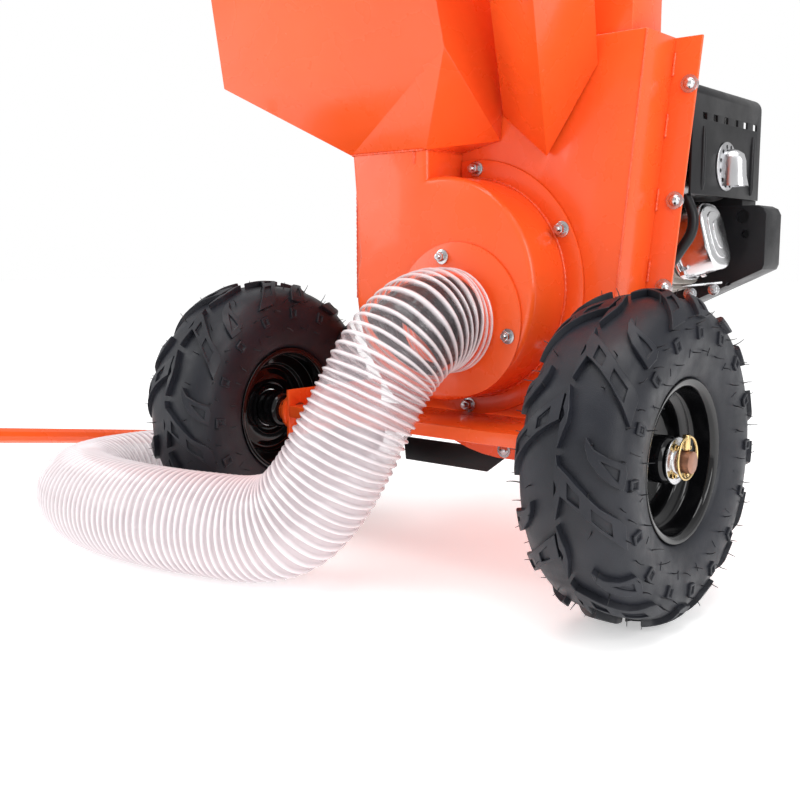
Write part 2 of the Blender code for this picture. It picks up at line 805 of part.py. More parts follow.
def engine():
    low_z = tray_z + gap
    block = box((-block_half, block_front, low_z), (block_half, block_back, rotor_z + 0.095))
    put(soften(block, 0.012), "crankcase", black)
    half = 0.052
    barrel_start = (block_half + gap + half * math.sin(crank_tilt)) / math.cos(crank_tilt)
    fins = []
    for i in range(7):
        out = barrel_start + 0.002 + 0.0115 * i
        fins.append(
            lean_box((out, cylinder_y - half, -half), (out + 0.0045, cylinder_y + half, half))
        )
    barrel_end = barrel_start + 0.082
    core = lean_box(
        (barrel_start, cylinder_y - half + 0.010, -half + 0.010),
        (barrel_end, cylinder_y + half - 0.010, half - 0.010),
    )
    put(combine(core, fins), "cylinder_barrel", alloy)
    cap_start = barrel_end + gap
    cap_half = 0.044
    cap = lean_box(
        (cap_start, cylinder_y - cap_half * 0.8, -cap_half),
        (cover_reach, cylinder_y + cap_half * 0.8, cap_half),
    )
    put(soften(cap, 0.010), "valve_cover", alloy)
    silencer = box((0.100, 0.205, 0.4315), (0.215, 0.345, 0.540))
    put(soften(silencer, 0.018), "muffler", steel)
    face = 0.222
    guard_low = (face, 0.196, 0.4345)
    guard_high = (face + 0.003, 0.398, 0.560)
    side = box(guard_low, guard_high)
    roof = box((0.092, 0.196, 0.557), (face + 0.003, 0.398, 0.560))
    put(combine(side, [roof]), "muffler_guard", black)
    spout_y = 0.292
    spout_z = 0.4706
    disc = rod((face + 0.003 + gap, spout_y, spout_z), (face + 0.006, spout_y, spout_z), 0.029)
    spout = rod((face + 0.0045, spout_y, spout_z), (face + 0.028, spout_y, spout_z), 0.016, 0.011)
    put(combine(disc, [spout]), "exhaust_outlet", alloy, (face + 0.003, spout_y, spout_z))
    near = block_half + gap
    shroud = [(near, 0.4275), (0.256, 0.4275), (0.256, 0.3485), (0.156, 0.302), (near, 0.270)]
    put(soften(flat([shroud], block_back - 0.052, block_back), 0.006), "side_shroud", black)
    fan_low = block_back + gap
    fan = [
        (0, fan_depth),
        (fan_radius * 0.62, fan_depth),
        (fan_radius, fan_depth * 0.6),
        (fan_radius, 0),
        (0, 0),
    ]
    put(
        turned(fan, (0, fan_low, rotor_z), (0, fan_low + 1, rotor_z), 36, False),
        "fan_housing",
        black,
        (0, fan_low, rotor_z),
        True,
    )
    grip_y = fan_low + fan_depth * 0.6 + 0.024
    grip_z = rotor_z + 0.105
    tank_low = 0.5605 + gap
    tank = box((-0.150, 0.190, tank_low), (0.110, 0.395, tank_low + 0.085))
    put(soften(tank, 0.022, 3), "fuel_tank", black)
    cap_z = tank_low + 0.085 + gap
    tank_cap = [(0, 0.018), (0.026, 0.018), (0.028, 0.014), (0.028, 0), (0, 0)]
    put(
        turned(tank_cap, (-0.02, 0.290, cap_z), (-0.02, 0.290, cap_z + 1), 24, False),
        "fuel_cap",
        black,
        (-0.02, 0.290, cap_z),
        True,
    )
    stand_low = rotor_z + 0.095 + gap
    stand = box((-0.070, 0.225, stand_low), (0.070, 0.355, tank_low - gap))
    put(soften(stand, 0.006), "tank_stand", black)
    filter_box = box((-0.225, 0.205, 0.430), (-0.100, 0.345, 0.540))
    put(soften(filter_box, 0.020), "air_cleaner", black)
    carburettor = box((-0.150, 0.235, 0.355), (-block_half - gap, 0.315, 0.4295))
    put(carburettor, "carburettor", alloy)
    choke_at = (-0.152, 0.275, 0.395)
    stalk = rod((-0.1503, 0.275, 0.395), (-0.160, 0.275, 0.395), 0.006, segments=12)
    arm = box((-0.160, 0.271, 0.395), (-0.156, 0.279, 0.427))
    put(combine(stalk, [arm]), "choke_lever", black, choke_at)
    throttle_at = (-0.060, block_back - 0.020, rotor_z + 0.0965)
    post = rod((-0.060, throttle_at[1], rotor_z + 0.0953), (-0.060, throttle_at[1], rotor_z + 0.104), 0.007, segments=12)
    lever = box((-0.064, throttle_at[1] - 0.004, rotor_z + 0.0985), (-0.112, throttle_at[1] + 0.004, rotor_z + 0.1015))
    put(combine(post, [lever]), "throttle_lever", steel, throttle_at)
    pad = box((-0.012, grip_y - 0.008, grip_z - 0.008), (0.052, grip_y + 0.010, grip_z + 0.010))
    cord_rod = rod((0.02, grip_y + 0.004, grip_z), (0.02, grip_y - 0.0125, grip_z), 0.0022, segments=8)
    put(combine(soften(pad, 0.005), [cord_rod]), "recoil_grip", black, (0.02, grip_y, grip_z))
    knob_x = -0.042
    knob_z = rotor_z + 0.042
    knob_y = fan_low + fan_depth + gap
    knob = rod((knob_x, knob_y, knob_z), (knob_x, knob_y + knob_length, knob_z), 0.011, segments=16)
    put(knob, "engine_switch", black, (knob_x, knob_y, knob_z))


engine()


# Fasteners that hold the port's cover to the casing.

nut_circle = 0.074
for i, angle in enumerate((105, -12, 229)):
    x = port_x + nut_circle * math.cos(math.radians(angle))
    z = port_z + nut_circle * math.sin(math.radians(angle))
    face = cover_front - gap
    washer = rod((x, face, z), (x, face - 0.0016, z), 0.0078, segments=20)
    nut = rod((x, face - 0.001, z), (x, face - 0.0070, z), 0.0062, segments=6)
    stud = rod((x, face - 0.006, z), (x, face - 0.0100, z), 0.0032, segments=12)
    put(combine(washer, [nut, stud]), f"port_nut_{i + 1}", steel, (x, face, z))


# Free hose, its pickup nozzle and the nozzle's handle, all lying on the ground.

hose_z = hose_radius + gap
port_face = cover_front - port_reach - gap
nozzle_x = -0.505
nozzle_start = 0.262
nozzle_length = 0.170
cuff_length = 0.040
handle_x = -0.626
handle_radius = 0.011
handle_z = 0.048            # height of the level end that is bolted under the lug
grip_radius = 0.0165
grip_length = 0.090
route = [
    (port_x, port_face - 0.006, port_z),
    (port_x, -0.026, port_z),
    (0.0259, -0.0574, 0.2812),
    (0.0157, -0.0879, 0.2498),
    (0.0037, -0.1110, 0.2054),
    (-0.0111, -0.1295, 0.1591),
    (-0.0315, -0.1443, 0.1147),
    (-0.0629, -0.1582, 0.0777),
    (-0.1092, -0.1711, 0.0625),
    (-0.1665, -0.1850, hose_z),
    (-0.2313, -0.1990, hose_z),
    (-0.3099, -0.2040, hose_z),
    (-0.3839, -0.1961, hose_z),
    (-0.4394, -0.1702, hose_z),
    (-0.4653, -0.1184, hose_z),
    (-0.4640, -0.0555, hose_z),
    (-0.4540, 0.0000, hose_z),
    (-0.4500, 0.0600, hose_z),
    (-0.4560, 0.1150, hose_z),
    (-0.4720, 0.1650, hose_z),
    (-0.4900, 0.2100, hose_z),
    (nozzle_x, nozzle_start - 0.030, hose_z),
]
hose_end = (nozzle_x, nozzle_start - 0.0062, hose_z)


def smooth_route(places, between):
    """Points on a smooth curve through the given places."""
    known = [Vector(place) for place in places]
    known = [2 * known[0] - known[1], *known, 2 * known[-1] - known[-2]]
    found = []
    for i in range(1, len(known) - 2):
        a, b, c, d = known[i - 1 : i + 3]
        for step in range(between):
            t = step / between
            found.append(
                0.5
                * (
                    2 * b
                    + (c - a) * t
                    + (2 * a - 5 * b + 4 * c - d) * t**2
                    + (3 * b - a - 3 * c + d) * t**3
                )
            )
    found.append(known[-2])
    return found


centre_line = [(port_x, port_face, port_z), *smooth_route(route, 2), hose_end]
hose = tube([tuple(point) for point in centre_line], hose_radius, 3)
put(hose, "hose", clear, (port_x, port_face, port_z), True)
nozzle_wall = 0.003
cuff = hose_radius - 0.004
mouth_radius = hose_radius + 0.012
nozzle_end = nozzle_start + nozzle_length
nozzle_profile = [
    (cuff - nozzle_wall, 0),
    (cuff, 0),
    (cuff, cuff_length),
    (mouth_radius, nozzle_length),
    (mouth_radius - nozzle_wall, nozzle_length),
    (cuff - nozzle_wall, cuff_length),
]
tilt = mouth_radius - cuff
nozzle_low = (nozzle_x, nozzle_start, hose_z)
nozzle_high = (nozzle_x, nozzle_end, hose_z + tilt)
nozzle = turned(nozzle_profile, nozzle_low, nozzle_high, 32)
lug_y = nozzle_start + cuff_length + 0.020
lug_z = handle_z + handle_radius + gap
lug = box((handle_x - 0.008, lug_y - 0.010, lug_z), (nozzle_x - cuff + 0.001, lug_y + 0.010, lug_z + 0.010))
put(combine(nozzle, [lug]), "pickup_nozzle", black, nozzle_low)
handle_front = Vector((handle_x, -0.280, 0.1263))


def handle():
    """The bar lies level at the nozzle, then climbs to the grip."""
    low = Vector((handle_x, lug_y + 0.025, handle_z))
    level = Vector((handle_x, lug_y - 0.030, handle_z))
    way = (handle_front - level).normalized()
    bar = tube([tuple(low), tuple(level), tuple(handle_front)], handle_radius, 3)
    put(bar, "nozzle_handle", orange, tuple(low), True)
    bore = handle_radius + gap
    end_wall = 0.006
    grip = [
        (0, grip_length - end_wall),
        (bore, grip_length - end_wall),
        (bore, 0),
        (grip_radius, 0),
        (grip_radius, grip_length),
        (0, grip_length),
    ]
    start = handle_front - way * (grip_length - end_wall - gap)
    end = start + way
    put(turned(grip, start, end, 20, False), "handle_grip", black, tuple(start), True)


handle()
for helper in cutters.objects:
    helper.hide_render = True
    helper.display_type = "WIRE"
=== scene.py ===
import json
import math
import random

import bpy
from mathutils import Matrix, Vector

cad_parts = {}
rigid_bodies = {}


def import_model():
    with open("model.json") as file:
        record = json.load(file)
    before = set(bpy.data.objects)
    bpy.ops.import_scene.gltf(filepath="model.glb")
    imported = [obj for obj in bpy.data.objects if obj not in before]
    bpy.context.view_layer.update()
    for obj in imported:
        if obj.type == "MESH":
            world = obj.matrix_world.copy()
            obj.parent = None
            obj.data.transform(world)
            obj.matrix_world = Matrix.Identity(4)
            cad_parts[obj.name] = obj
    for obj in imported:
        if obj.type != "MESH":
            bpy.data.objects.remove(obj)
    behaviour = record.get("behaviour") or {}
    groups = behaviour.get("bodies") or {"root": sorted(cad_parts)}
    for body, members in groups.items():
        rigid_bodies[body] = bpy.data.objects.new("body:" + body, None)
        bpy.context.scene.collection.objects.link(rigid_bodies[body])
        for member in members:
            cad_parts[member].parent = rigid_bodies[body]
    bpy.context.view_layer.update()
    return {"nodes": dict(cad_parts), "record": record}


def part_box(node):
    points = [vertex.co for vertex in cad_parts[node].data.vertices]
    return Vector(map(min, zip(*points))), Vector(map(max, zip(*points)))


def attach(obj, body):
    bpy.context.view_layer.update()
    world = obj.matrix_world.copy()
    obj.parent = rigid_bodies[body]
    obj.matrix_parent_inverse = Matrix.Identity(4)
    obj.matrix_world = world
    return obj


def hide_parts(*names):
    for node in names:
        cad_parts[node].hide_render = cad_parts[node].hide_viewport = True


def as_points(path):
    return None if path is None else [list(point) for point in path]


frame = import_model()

bodies = frame["record"]["behaviour"]["bodies"]
bodyOf = {node: body for body, group in bodies.items() for node in group}
axleY = -0.15305
axleZ = 0.1665
rotorZ = 0.3256


# ---- small habits used all through
def chooseOnly(*things):
    bpy.ops.object.select_all(action="DESELECT")
    for thing in things:
        thing.select_set(True)
    bpy.context.view_layer.objects.active = things[0]


def settle(piece):
    chooseOnly(piece)
    bpy.ops.object.transform_apply(location=True, rotation=True, scale=True)
    return piece


def applyModifiers(piece):
    chooseOnly(piece)
    for step in list(piece.modifiers):
        bpy.ops.object.modifier_apply(modifier=step.name)
    return piece


def joinPieces(pieces):
    chooseOnly(*pieces)
    bpy.ops.object.join()
    return pieces[0]


def addBevel(piece, width, segments=2, angle=30):
    step = piece.modifiers.new("roundedEdges", "BEVEL")
    step.width = width
    step.segments = segments
    step.limit_method = "ANGLE"
    step.angle_limit = math.radians(angle)
    step.harden_normals = False
    return applyModifiers(piece)


def addWall(piece, thickness, offset=-1):
    step = piece.modifiers.new("sheetWall", "SOLIDIFY")
    step.thickness = thickness
    step.offset = offset
    step.use_even_offset = True
    return applyModifiers(piece)


def cutAway(piece, cutter, operation="DIFFERENCE"):
    step = piece.modifiers.new("cut", "BOOLEAN")
    step.operation = operation
    step.object = cutter
    step.solver = "EXACT"
    applyModifiers(piece)
    bpy.data.objects.remove(cutter, do_unlink=True)
    return piece


def hand(piece, name, body, material, replaced=(), smooth=32):
    settle(piece)
    piece.name = name
    piece.data.name = name
    piece.data.materials.clear()
    piece.data.materials.append(material)
    if smooth:
        chooseOnly(piece)
        bpy.ops.object.shade_smooth_by_angle(angle=math.radians(smooth))
    if replaced:
        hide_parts(*replaced)
    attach(piece, body)
    return piece


def outward(piece):
    chooseOnly(piece)
    bpy.ops.object.mode_set(mode="EDIT")
    bpy.ops.mesh.select_all(action="SELECT")
    bpy.ops.mesh.remove_doubles(threshold=0.000005)
    bpy.ops.mesh.normals_make_consistent(inside=False)
    bpy.ops.object.mode_set(mode="OBJECT")
    return piece


def toLine(start, end):
    way = Vector(end) - Vector(start)
    return Matrix.Translation(Vector(start)) @ way.to_track_quat("Z", "Y").to_matrix().to_4x4()


# a flat outline pushed out into a closed block
def pushedOutline(points, push):
    bpy.ops.object.select_all(action="DESELECT")
    bpy.ops.mesh.primitive_circle_add(vertices=len(points), radius=0.01, fill_type="NGON")
    piece = bpy.context.object
    for vertex, spot in zip(piece.data.vertices, points):
        vertex.co = spot
    bpy.ops.object.mode_set(mode="EDIT")
    bpy.ops.mesh.select_all(action="SELECT")
    bpy.ops.mesh.extrude_region_move(TRANSFORM_OT_translate={"value": push})
    bpy.ops.object.mode_set(mode="OBJECT")
    return outward(piece)


# a closed profile of (radius, along) spun about the line from start to end
def spun(profile, start, end, steps=64):
    bpy.ops.mesh.primitive_circle_add(vertices=len(profile), radius=0.01)
    piece = bpy.context.object
    for vertex, (radius, along) in zip(piece.data.vertices, profile):
        vertex.co = (radius, 0, along)
    chooseOnly(piece)
    bpy.ops.object.mode_set(mode="EDIT")
    bpy.ops.mesh.select_all(action="SELECT")
    bpy.ops.mesh.spin(steps=steps, angle=math.tau, center=(0, 0, 0), axis=(0, 0, 1))
    bpy.ops.object.mode_set(mode="OBJECT")
    outward(piece)
    piece.data.transform(toLine(start, end))
    return piece


# a profile with its corners rounded, so that a spun piece catches the light at them
def eased(profile, radius, steps=3):
    found = []
    count = len(profile)
    for i, (r, h) in enumerate(profile):
        here = Vector((r, h))
        before = Vector(profile[i - 1]) - here
        after = Vector(profile[(i + 1) % count]) - here
        reach = min(radius, before.length * 0.45, after.length * 0.45)
        if r < 0.00001 or reach < 0.00001:
            found.append((r, h))
            continue
        start = here + before.normalized() * reach
        end = here + after.normalized() * reach
        for k in range(steps + 1):
            t = k / steps
            spot = start * (1 - t) ** 2 + here * 2 * t * (1 - t) + end * t * t
            found.append((max(spot.x, 0.0), spot.y))
    return found


def rod(start, end, radius, endRadius=None, sides=32):
    start, end = Vector(start), Vector(end)
    bpy.ops.mesh.primitive_cone_add(
        vertices=sides,
        radius1=radius,
        radius2=radius if endRadius is None else endRadius,
        depth=(end - start).length,
    )
    piece = bpy.context.object
    piece.data.transform(toLine(start, end) @ Matrix.Translation((0, 0, (end - start).length / 2)))
    return piece


def block(low, high, round=0.001, segments=2, turn=None):
    low, high = Vector(low), Vector(high)
    bpy.ops.mesh.primitive_cube_add(size=1)
    piece = bpy.context.object
    size = high - low
    place = Matrix.Translation((low + high) / 2)
    if turn is not None:
        place = place @ turn
    piece.data.transform(place @ Matrix.Diagonal((*size, 1)))
    if round:
        addBevel(piece, round, segments)
    return piece


def bar(points, radius, sides=6, closed=False, radii=None):
    curve = bpy.data.curves.new("bar", "CURVE")
    curve.dimensions = "3D"
    curve.bevel_depth = radius
    curve.bevel_resolution = sides
    curve.use_fill_caps = not closed
    spline = curve.splines.new("POLY")
    spline.points.add(len(points) - 1)
    for i, (point, place) in enumerate(zip(spline.points, points)):
        point.co = (*place, 1)
        point.radius = radii[i] if radii else 1
    spline.use_cyclic_u = closed
    piece = bpy.data.objects.new("bar", curve)
    bpy.context.scene.collection.objects.link(piece)
    chooseOnly(piece)
    bpy.ops.object.convert(target="MESH")
    return outward(bpy.context.object)


# an even run of points on a smooth curve through the given ones
def smoothRun(places, between):
    known = [Vector(place) for place in places]
    known = [2 * known[0] - known[1], *known, 2 * known[-1] - known[-2]]
    found = []
    for i in range(1, len(known) - 2):
        a, b, c, d = known[i - 1 : i + 3]
        for step in range(between):
            t = step / between
            found.append(0.5 * (2 * b + (c - a) * t + (2 * a - 5 * b + 4 * c - d) * t**2 + (3 * b - a - 3 * c + d) * t**3))
    found.append(known[-2])
    return found


def weldBead(points, radius, name, body="chassis"):
    run = []
    for a, b in zip(points, points[1:]):
        a, b = Vector(a), Vector(b)
        count = max(2, int((b - a).length / 0.0016))
        run += [a.lerp(b, i / count) for i in range(count)]
    run.append(Vector(points[-1]))
    radii = [1 + 0.22 * math.sin(i * 1.9) + 0.12 * math.sin(i * 0.63 + 1) for i in range(len(run))]
    return hand(bar(run, radius, 2, radii=radii), name, body, orangeWeld, smooth=60)


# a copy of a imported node, its loose triangles merged into flat faces and its edges rounded
def refined(node, width, material, name=None, segments=2, angle=28):
    source = frame["nodes"][node]
    piece = bpy.data.objects.new(node, source.data.copy())
    bpy.context.scene.collection.objects.link(piece)
    chooseOnly(piece)
    bpy.ops.object.mode_set(mode="EDIT")
    bpy.ops.mesh.select_all(action="SELECT")
    bpy.ops.mesh.remove_doubles(threshold=0.00001)
    bpy.ops.mesh.dissolve_limited(angle_limit=math.radians(1))
    bpy.ops.object.mode_set(mode="OBJECT")
    if width:
        addBevel(piece, width, segments, angle)
    return hand(piece, name or node + "Look", bodyOf[node], material, [node], 30)


# ---- finishes
def blotchGroup():
    group = bpy.data.node_groups.new("blotch", "ShaderNodeTree")
    for label, value in (("Scale", 20.0), ("Low", 0.0), ("High", 1.0), ("Detail", 4.0)):
        socket = group.interface.new_socket(label, in_out="INPUT", socket_type="NodeSocketFloat")
        socket.default_value = value
    group.interface.new_socket("Value", in_out="OUTPUT", socket_type="NodeSocketFloat")
    enter = group.nodes.new("NodeGroupInput")
    leave = group.nodes.new("NodeGroupOutput")
    place = group.nodes.new("ShaderNodeTexCoord")
    noise = group.nodes.new("ShaderNodeTexNoise")
    spread = group.nodes.new("ShaderNodeMapRange")
    spread.inputs["From Min"].default_value = 0.3
    spread.inputs["From Max"].default_value = 0.7
    group.links.new(place.outputs["Object"], noise.inputs["Vector"])
    group.links.new(enter.outputs["Scale"], noise.inputs["Scale"])
    group.links.new(enter.outputs["Detail"], noise.inputs["Detail"])
    group.links.new(noise.outputs["Fac"], spread.inputs["Value"])
    group.links.new(enter.outputs["Low"], spread.inputs["To Min"])
    group.links.new(enter.outputs["High"], spread.inputs["To Max"])
    group.links.new(spread.outputs["Result"], leave.inputs["Value"])
    return group


blotch = blotchGroup()


def placeBlotch(tree, scale, low, high, detail=4.0):
    node = tree.nodes.new("ShaderNodeGroup")
    node.node_tree = blotch
    for label, value in (("Scale", scale), ("Low", low), ("High", high), ("Detail", detail)):
        node.inputs[label].default_value = value
    return node.outputs["Value"]


def mixColours(tree, fac, first, second):
    node = tree.nodes.new("ShaderNodeMix")
    node.data_type = "RGBA"
    node.inputs["A"].default_value = (*first, 1)
    node.inputs["B"].default_value = (*second, 1)
    tree.links.new(fac, node.inputs["Factor"])
    return node.outputs["Result"]


def surface(
    name, colour, other, rough,
    metallic=0.0, coat=0.0, specular=0.5,
    toneScale=9, grain=700, grainHeight=0.00004, roughSpread=0.08,
):
    made = bpy.data.materials.new(name)
    made.use_nodes = True
    tree = made.node_tree
    shader = tree.nodes["Principled BSDF"]
    shader.inputs["Metallic"].default_value = metallic
    shader.inputs["Coat Weight"].default_value = coat
    shader.inputs["Coat Roughness"].default_value = 0.06
    shader.inputs["Specular IOR Level"].default_value = specular
    tree.links.new(mixColours(tree, placeBlotch(tree, toneScale, 0, 1), colour, other), shader.inputs["Base Color"])
    tree.links.new(placeBlotch(tree, toneScale * 3.7, rough - roughSpread, rough + roughSpread), shader.inputs["Roughness"])
    if grainHeight:
        bump = tree.nodes.new("ShaderNodeBump")
        bump.inputs["Distance"].default_value = grainHeight
        bump.inputs["Strength"].default_value = 0.6
        tree.links.new(placeBlotch(tree, grain, 0, 1, 2.0), bump.inputs["Height"])
        tree.links.new(bump.outputs["Normal"], shader.inputs["Normal"])
    return made


orangeEnamel = surface(
    "orangeEnamel", (0.92, 0.112, 0.018), (0.87, 0.096, 0.015), 0.28,
    coat=0.22, toneScale=5, grain=220, grainHeight=0.00005, specular=0.40,
)
orangeWeld = surface(
    "orangeWeld", (0.90, 0.10, 0.020), (0.78, 0.075, 0.015), 0.30,
    coat=0.3, toneScale=40, grain=500, grainHeight=0.0002,
)
tyreRubber = surface(
    "tyreRubber", (0.0085, 0.0095, 0.0135), (0.016, 0.0175, 0.024), 0.46,
    toneScale=14, grain=900, grainHeight=0.00010, roughSpread=0.10, specular=0.34,
)
hairRubber = surface("hairRubber", (0.006, 0.006, 0.008), (0.011, 0.011, 0.014), 0.55, grainHeight=0)
glossBlack = surface(
    "glossBlack", (0.003, 0.003, 0.0035), (0.005, 0.005, 0.006), 0.09,
    coat=0.12, grain=160, grainHeight=0.00003, roughSpread=0.03, specular=0.36,
)
satinBlack = surface(
    "satinBlack", (0.0055, 0.0055, 0.0065), (0.010, 0.010, 0.012), 0.36,
    grain=600, grainHeight=0.00008, specular=0.32,
)
mouldedBlack = surface(
    "mouldedBlack", (0.0060, 0.0060, 0.0075), (0.011, 0.011, 0.013), 0.42,
    grain=1400, grainHeight=0.00012, roughSpread=0.10, specular=0.34,
)
greySheet = surface(
    "greySheet", (0.085, 0.085, 0.092), (0.13, 0.13, 0.135), 0.6,
    grain=900, grainHeight=0.00010,
)
zincPlate = surface(
    "zincPlate", (0.62, 0.62, 0.62), (0.50, 0.51, 0.54), 0.24,
    metallic=1.0, toneScale=60, grain=900, grainHeight=0.00004,
)
bareSteel = surface("bareSteel", (0.42, 0.42, 0.43), (0.30, 0.29, 0.29), 0.36, metallic=1.0, toneScale=30)
brownAxle = surface("brownAxle", (0.40, 0.20, 0.13), (0.26, 0.13, 0.09), 0.38, metallic=0.85, toneScale=90)
brassWire = surface("brassWire", (0.78, 0.58, 0.27), (0.62, 0.44, 0.20), 0.26, metallic=1.0, toneScale=70)
castAlloy = surface(
    "castAlloy", (0.62, 0.62, 0.63), (0.48, 0.48, 0.50), 0.36,
    metallic=1.0, toneScale=25, grain=500, grainHeight=0.00015,
)
warmAlloy = surface(
    "warmAlloy", (0.50, 0.47, 0.43), (0.40, 0.37, 0.34), 0.5,
    metallic=0.7, toneScale=25, grain=420, grainHeight=0.0002,
)
brightCover = surface(
    "brightCover", (0.80, 0.80, 0.81), (0.70, 0.70, 0.72), 0.22,
    metallic=1.0, toneScale=16, roughSpread=0.05,
)
print("finishes made")


# ---- camera, light and floor
view = {"place": (0.73954, -1.08795, 0.36131), "turn": 39.83, "down": 7.75, "lens": 46.73}
eye = bpy.data.cameras.new("camera")
eye.lens = view["lens"]
eye.sensor_width = 36
eye.clip_start = 0.01
camera = bpy.data.objects.new("camera", eye)
camera.location = view["place"]
camera.rotation_euler = (math.radians(90 - view["down"]), 0, math.radians(view["turn"]))
bpy.context.scene.collection.objects.link(camera)
bpy.context.scene.camera = camera
bpy.context.scene.view_settings.view_transform = "Standard"

bpy.ops.object.select_all(action="DESELECT")
bpy.ops.mesh.primitive_plane_add(size=30)
floor = bpy.context.object
floor.name = "floor"
floorPaint = bpy.data.materials.new("floorPaint")
floorPaint.use_nodes = True
floorLook = floorPaint.node_tree.nodes["Principled BSDF"].inputs
floorLook["Base Color"].default_value = (0.93, 0.93, 0.93, 1)
floorLook["Roughness"].default_value = 0.7
floorLook["Emission Color"].default_value = (1, 1, 1, 1)
floorLook["Emission Strength"].default_value = 0.42
floor.data.materials.append(floorPaint)

sky = bpy.data.worlds.new("studio")
sky.use_nodes = True
sky.node_tree.nodes["Background"].inputs["Color"].default_value = (1, 1, 1, 1)
skyTree = sky.node_tree
skyPath = skyTree.nodes.new("ShaderNodeLightPath")
skyLevel = skyTree.nodes.new("ShaderNodeMapRange")
skyLevel.inputs["To Min"].default_value = 0.66
skyLevel.inputs["To Max"].default_value = 1.0
skyTree.links.new(skyPath.outputs["Is Camera Ray"], skyLevel.inputs["Value"])
skyTree.links.new(skyLevel.outputs["Result"], skyTree.nodes["Background"].inputs["Strength"])
bpy.context.scene.world = sky


def lamp(name, place, aim, size, power):
    light = bpy.data.lights.new(name, "AREA")
    light.shape = "RECTANGLE"
    light.size, light.size_y = size
    light.energy = power
    thing = bpy.data.objects.new(name, light)
    thing.location = place
    thing.rotation_euler = (Vector(aim) - Vector(place)).to_track_quat("-Z", "Y").to_euler()
    bpy.context.scene.collection.objects.link(thing)


lamp("overhead", (0.2, -0.6, 2.6), (0, -0.1, 0.3), (2.2, 1.6), 42)
lamp("leftSoft", (-2.0, -1.6, 1.3), (0, -0.1, 0.3), (1.2, 1.8), 18)
lamp("rightSoft", (2.2, -0.7, 1.2), (0.2, -0.1, 0.25), (0.9, 1.6), 22)
print("camera, lights and floor set")


# ---- clear ribbed hose, from the collar to its nozzle
hose = {"outer": 0.0597, "film": 0.0567, "pitch": 0.0090, "around": 48, "perPitch": 8}
portX = 0.0278
portZ = 0.2920
nozzleX = -0.505
nozzleStart = 0.262
hoseZ = 0.0603
hoseRoute = [
    (portX, 0.0110, portZ),
    (portX, -0.0049, portZ),
    (portX, -0.026, portZ),
    (0.0259, -0.0574, 0.2812),
    (0.0157, -0.0879, 0.2498),
    (0.0037, -0.1110, 0.2054),
    (-0.0111, -0.1295, 0.1591),
    (-0.0315, -0.1443, 0.1147),
    (-0.0629, -0.1582, 0.0777),
    (-0.1092, -0.1711, 0.0625),
    (-0.1665, -0.1850, hoseZ),
    (-0.2313, -0.1990, hoseZ),
    (-0.3099, -0.2040, hoseZ),
    (-0.3839, -0.1961, hoseZ),
    (-0.4394, -0.1702, hoseZ),
    (-0.4653, -0.1184, hoseZ),
    (-0.4640, -0.0555, hoseZ),
    (-0.4540, 0.0000, hoseZ),
    (-0.4500, 0.0600, hoseZ),
    (-0.4560, 0.1150, hoseZ),
    (-0.4720, 0.1650, hoseZ),
    (-0.4900, 0.2100, hoseZ),
    (nozzleX, nozzleStart - 0.030, hoseZ),
    (nozzleX, nozzleStart - 0.0062, hoseZ),
]
centreLine = [point + Vector((0, axleY, 0)) for point in smoothRun(hoseRoute, 12)]


# even steps along a line of points, each with its distance, place and heading
def evenSteps(points, step):
    lengths = [0.0]
    for a, b in zip(points, points[1:]):
        lengths.append(lengths[-1] + (b - a).length)
    count = int(lengths[-1] / step)
    found = []
    i = 0
    for k in range(count + 1):
        want = lengths[-1] * k / count
        while i < len(points) - 2 and lengths[i + 1] < want:
            i += 1
        t = (want - lengths[i]) / max(lengths[i + 1] - lengths[i], 1e-9)
        found.append((want, points[i].lerp(points[i + 1], t)))
    return found, lengths[-1]


def framesAlong(steps):
    frames = []
    side = Vector((1, 0, 0))
    for i, (want, place) in enumerate(steps):
        ahead = steps[min(i + 2, len(steps) - 1)][1] - steps[max(i - 2, 0)][1]
        ahead.normalize()
        side = (side - ahead * side.dot(ahead)).normalized()
        frames.append((want, place, side.copy(), ahead.cross(side)))
    return frames


def gridPiece(rows, columns, spot):
    bpy.ops.mesh.primitive_grid_add(x_subdivisions=columns - 1, y_subdivisions=rows - 1, size=1)
    piece = bpy.context.object
    for index, vertex in enumerate(piece.data.vertices):
        vertex.co = spot(index // columns, index % columns)
    return piece


def ribShape(phase):
    rib = abs((phase % 1.0) - 0.5) * 2
    if rib > 0.42:
        return 0.0
    return math.sqrt(max(0.0, 1 - (rib / 0.42) ** 2))


def buildHose():
    steps, length = evenSteps(centreLine, hose["pitch"] / hose["perPitch"])
    frames = framesAlong(steps)
    around = hose["around"]
    high = hose["outer"] - hose["film"]

    def spot(row, column):
        want, place, side, up = frames[row]
        turn = column / around
        swell = ribShape(want / hose["pitch"] - turn)
        radius = hose["film"] + high * swell
        angle = turn * math.tau
        return place + (side * math.cos(angle) + up * math.sin(angle)) * radius

    piece = gridPiece(len(frames), around + 1, spot)
    ribs = piece.data.attributes.new("rib", "FLOAT", "POINT")
    values = []
    for index in range(len(piece.data.vertices)):
        row, column = divmod(index, around + 1)
        values.append(ribShape(frames[row][0] / hose["pitch"] - column / around))
    ribs.data.foreach_set("value", values)
    # the film's real milkiness, kept clear near the port so the painted shade inside shows through, and rising to full
    # milkiness along the hose
    milkAndPortShade = piece.data.attributes.new("milkAndPortShade", "FLOAT", "POINT")
    milkAndPortShadeValues = []
    for index in range(len(piece.data.vertices)):
        far = frames[index // (around + 1)][0]
        milkAndPortShadeValues.append(max(0.0, min(1.0, (far - 0.06) / 0.20)))
    milkAndPortShade.data.foreach_set("value", milkAndPortShadeValues)
    outward(piece)
    return piece, length, [tuple(point) for want, point in steps[:: hose["perPitch"] * 2]]


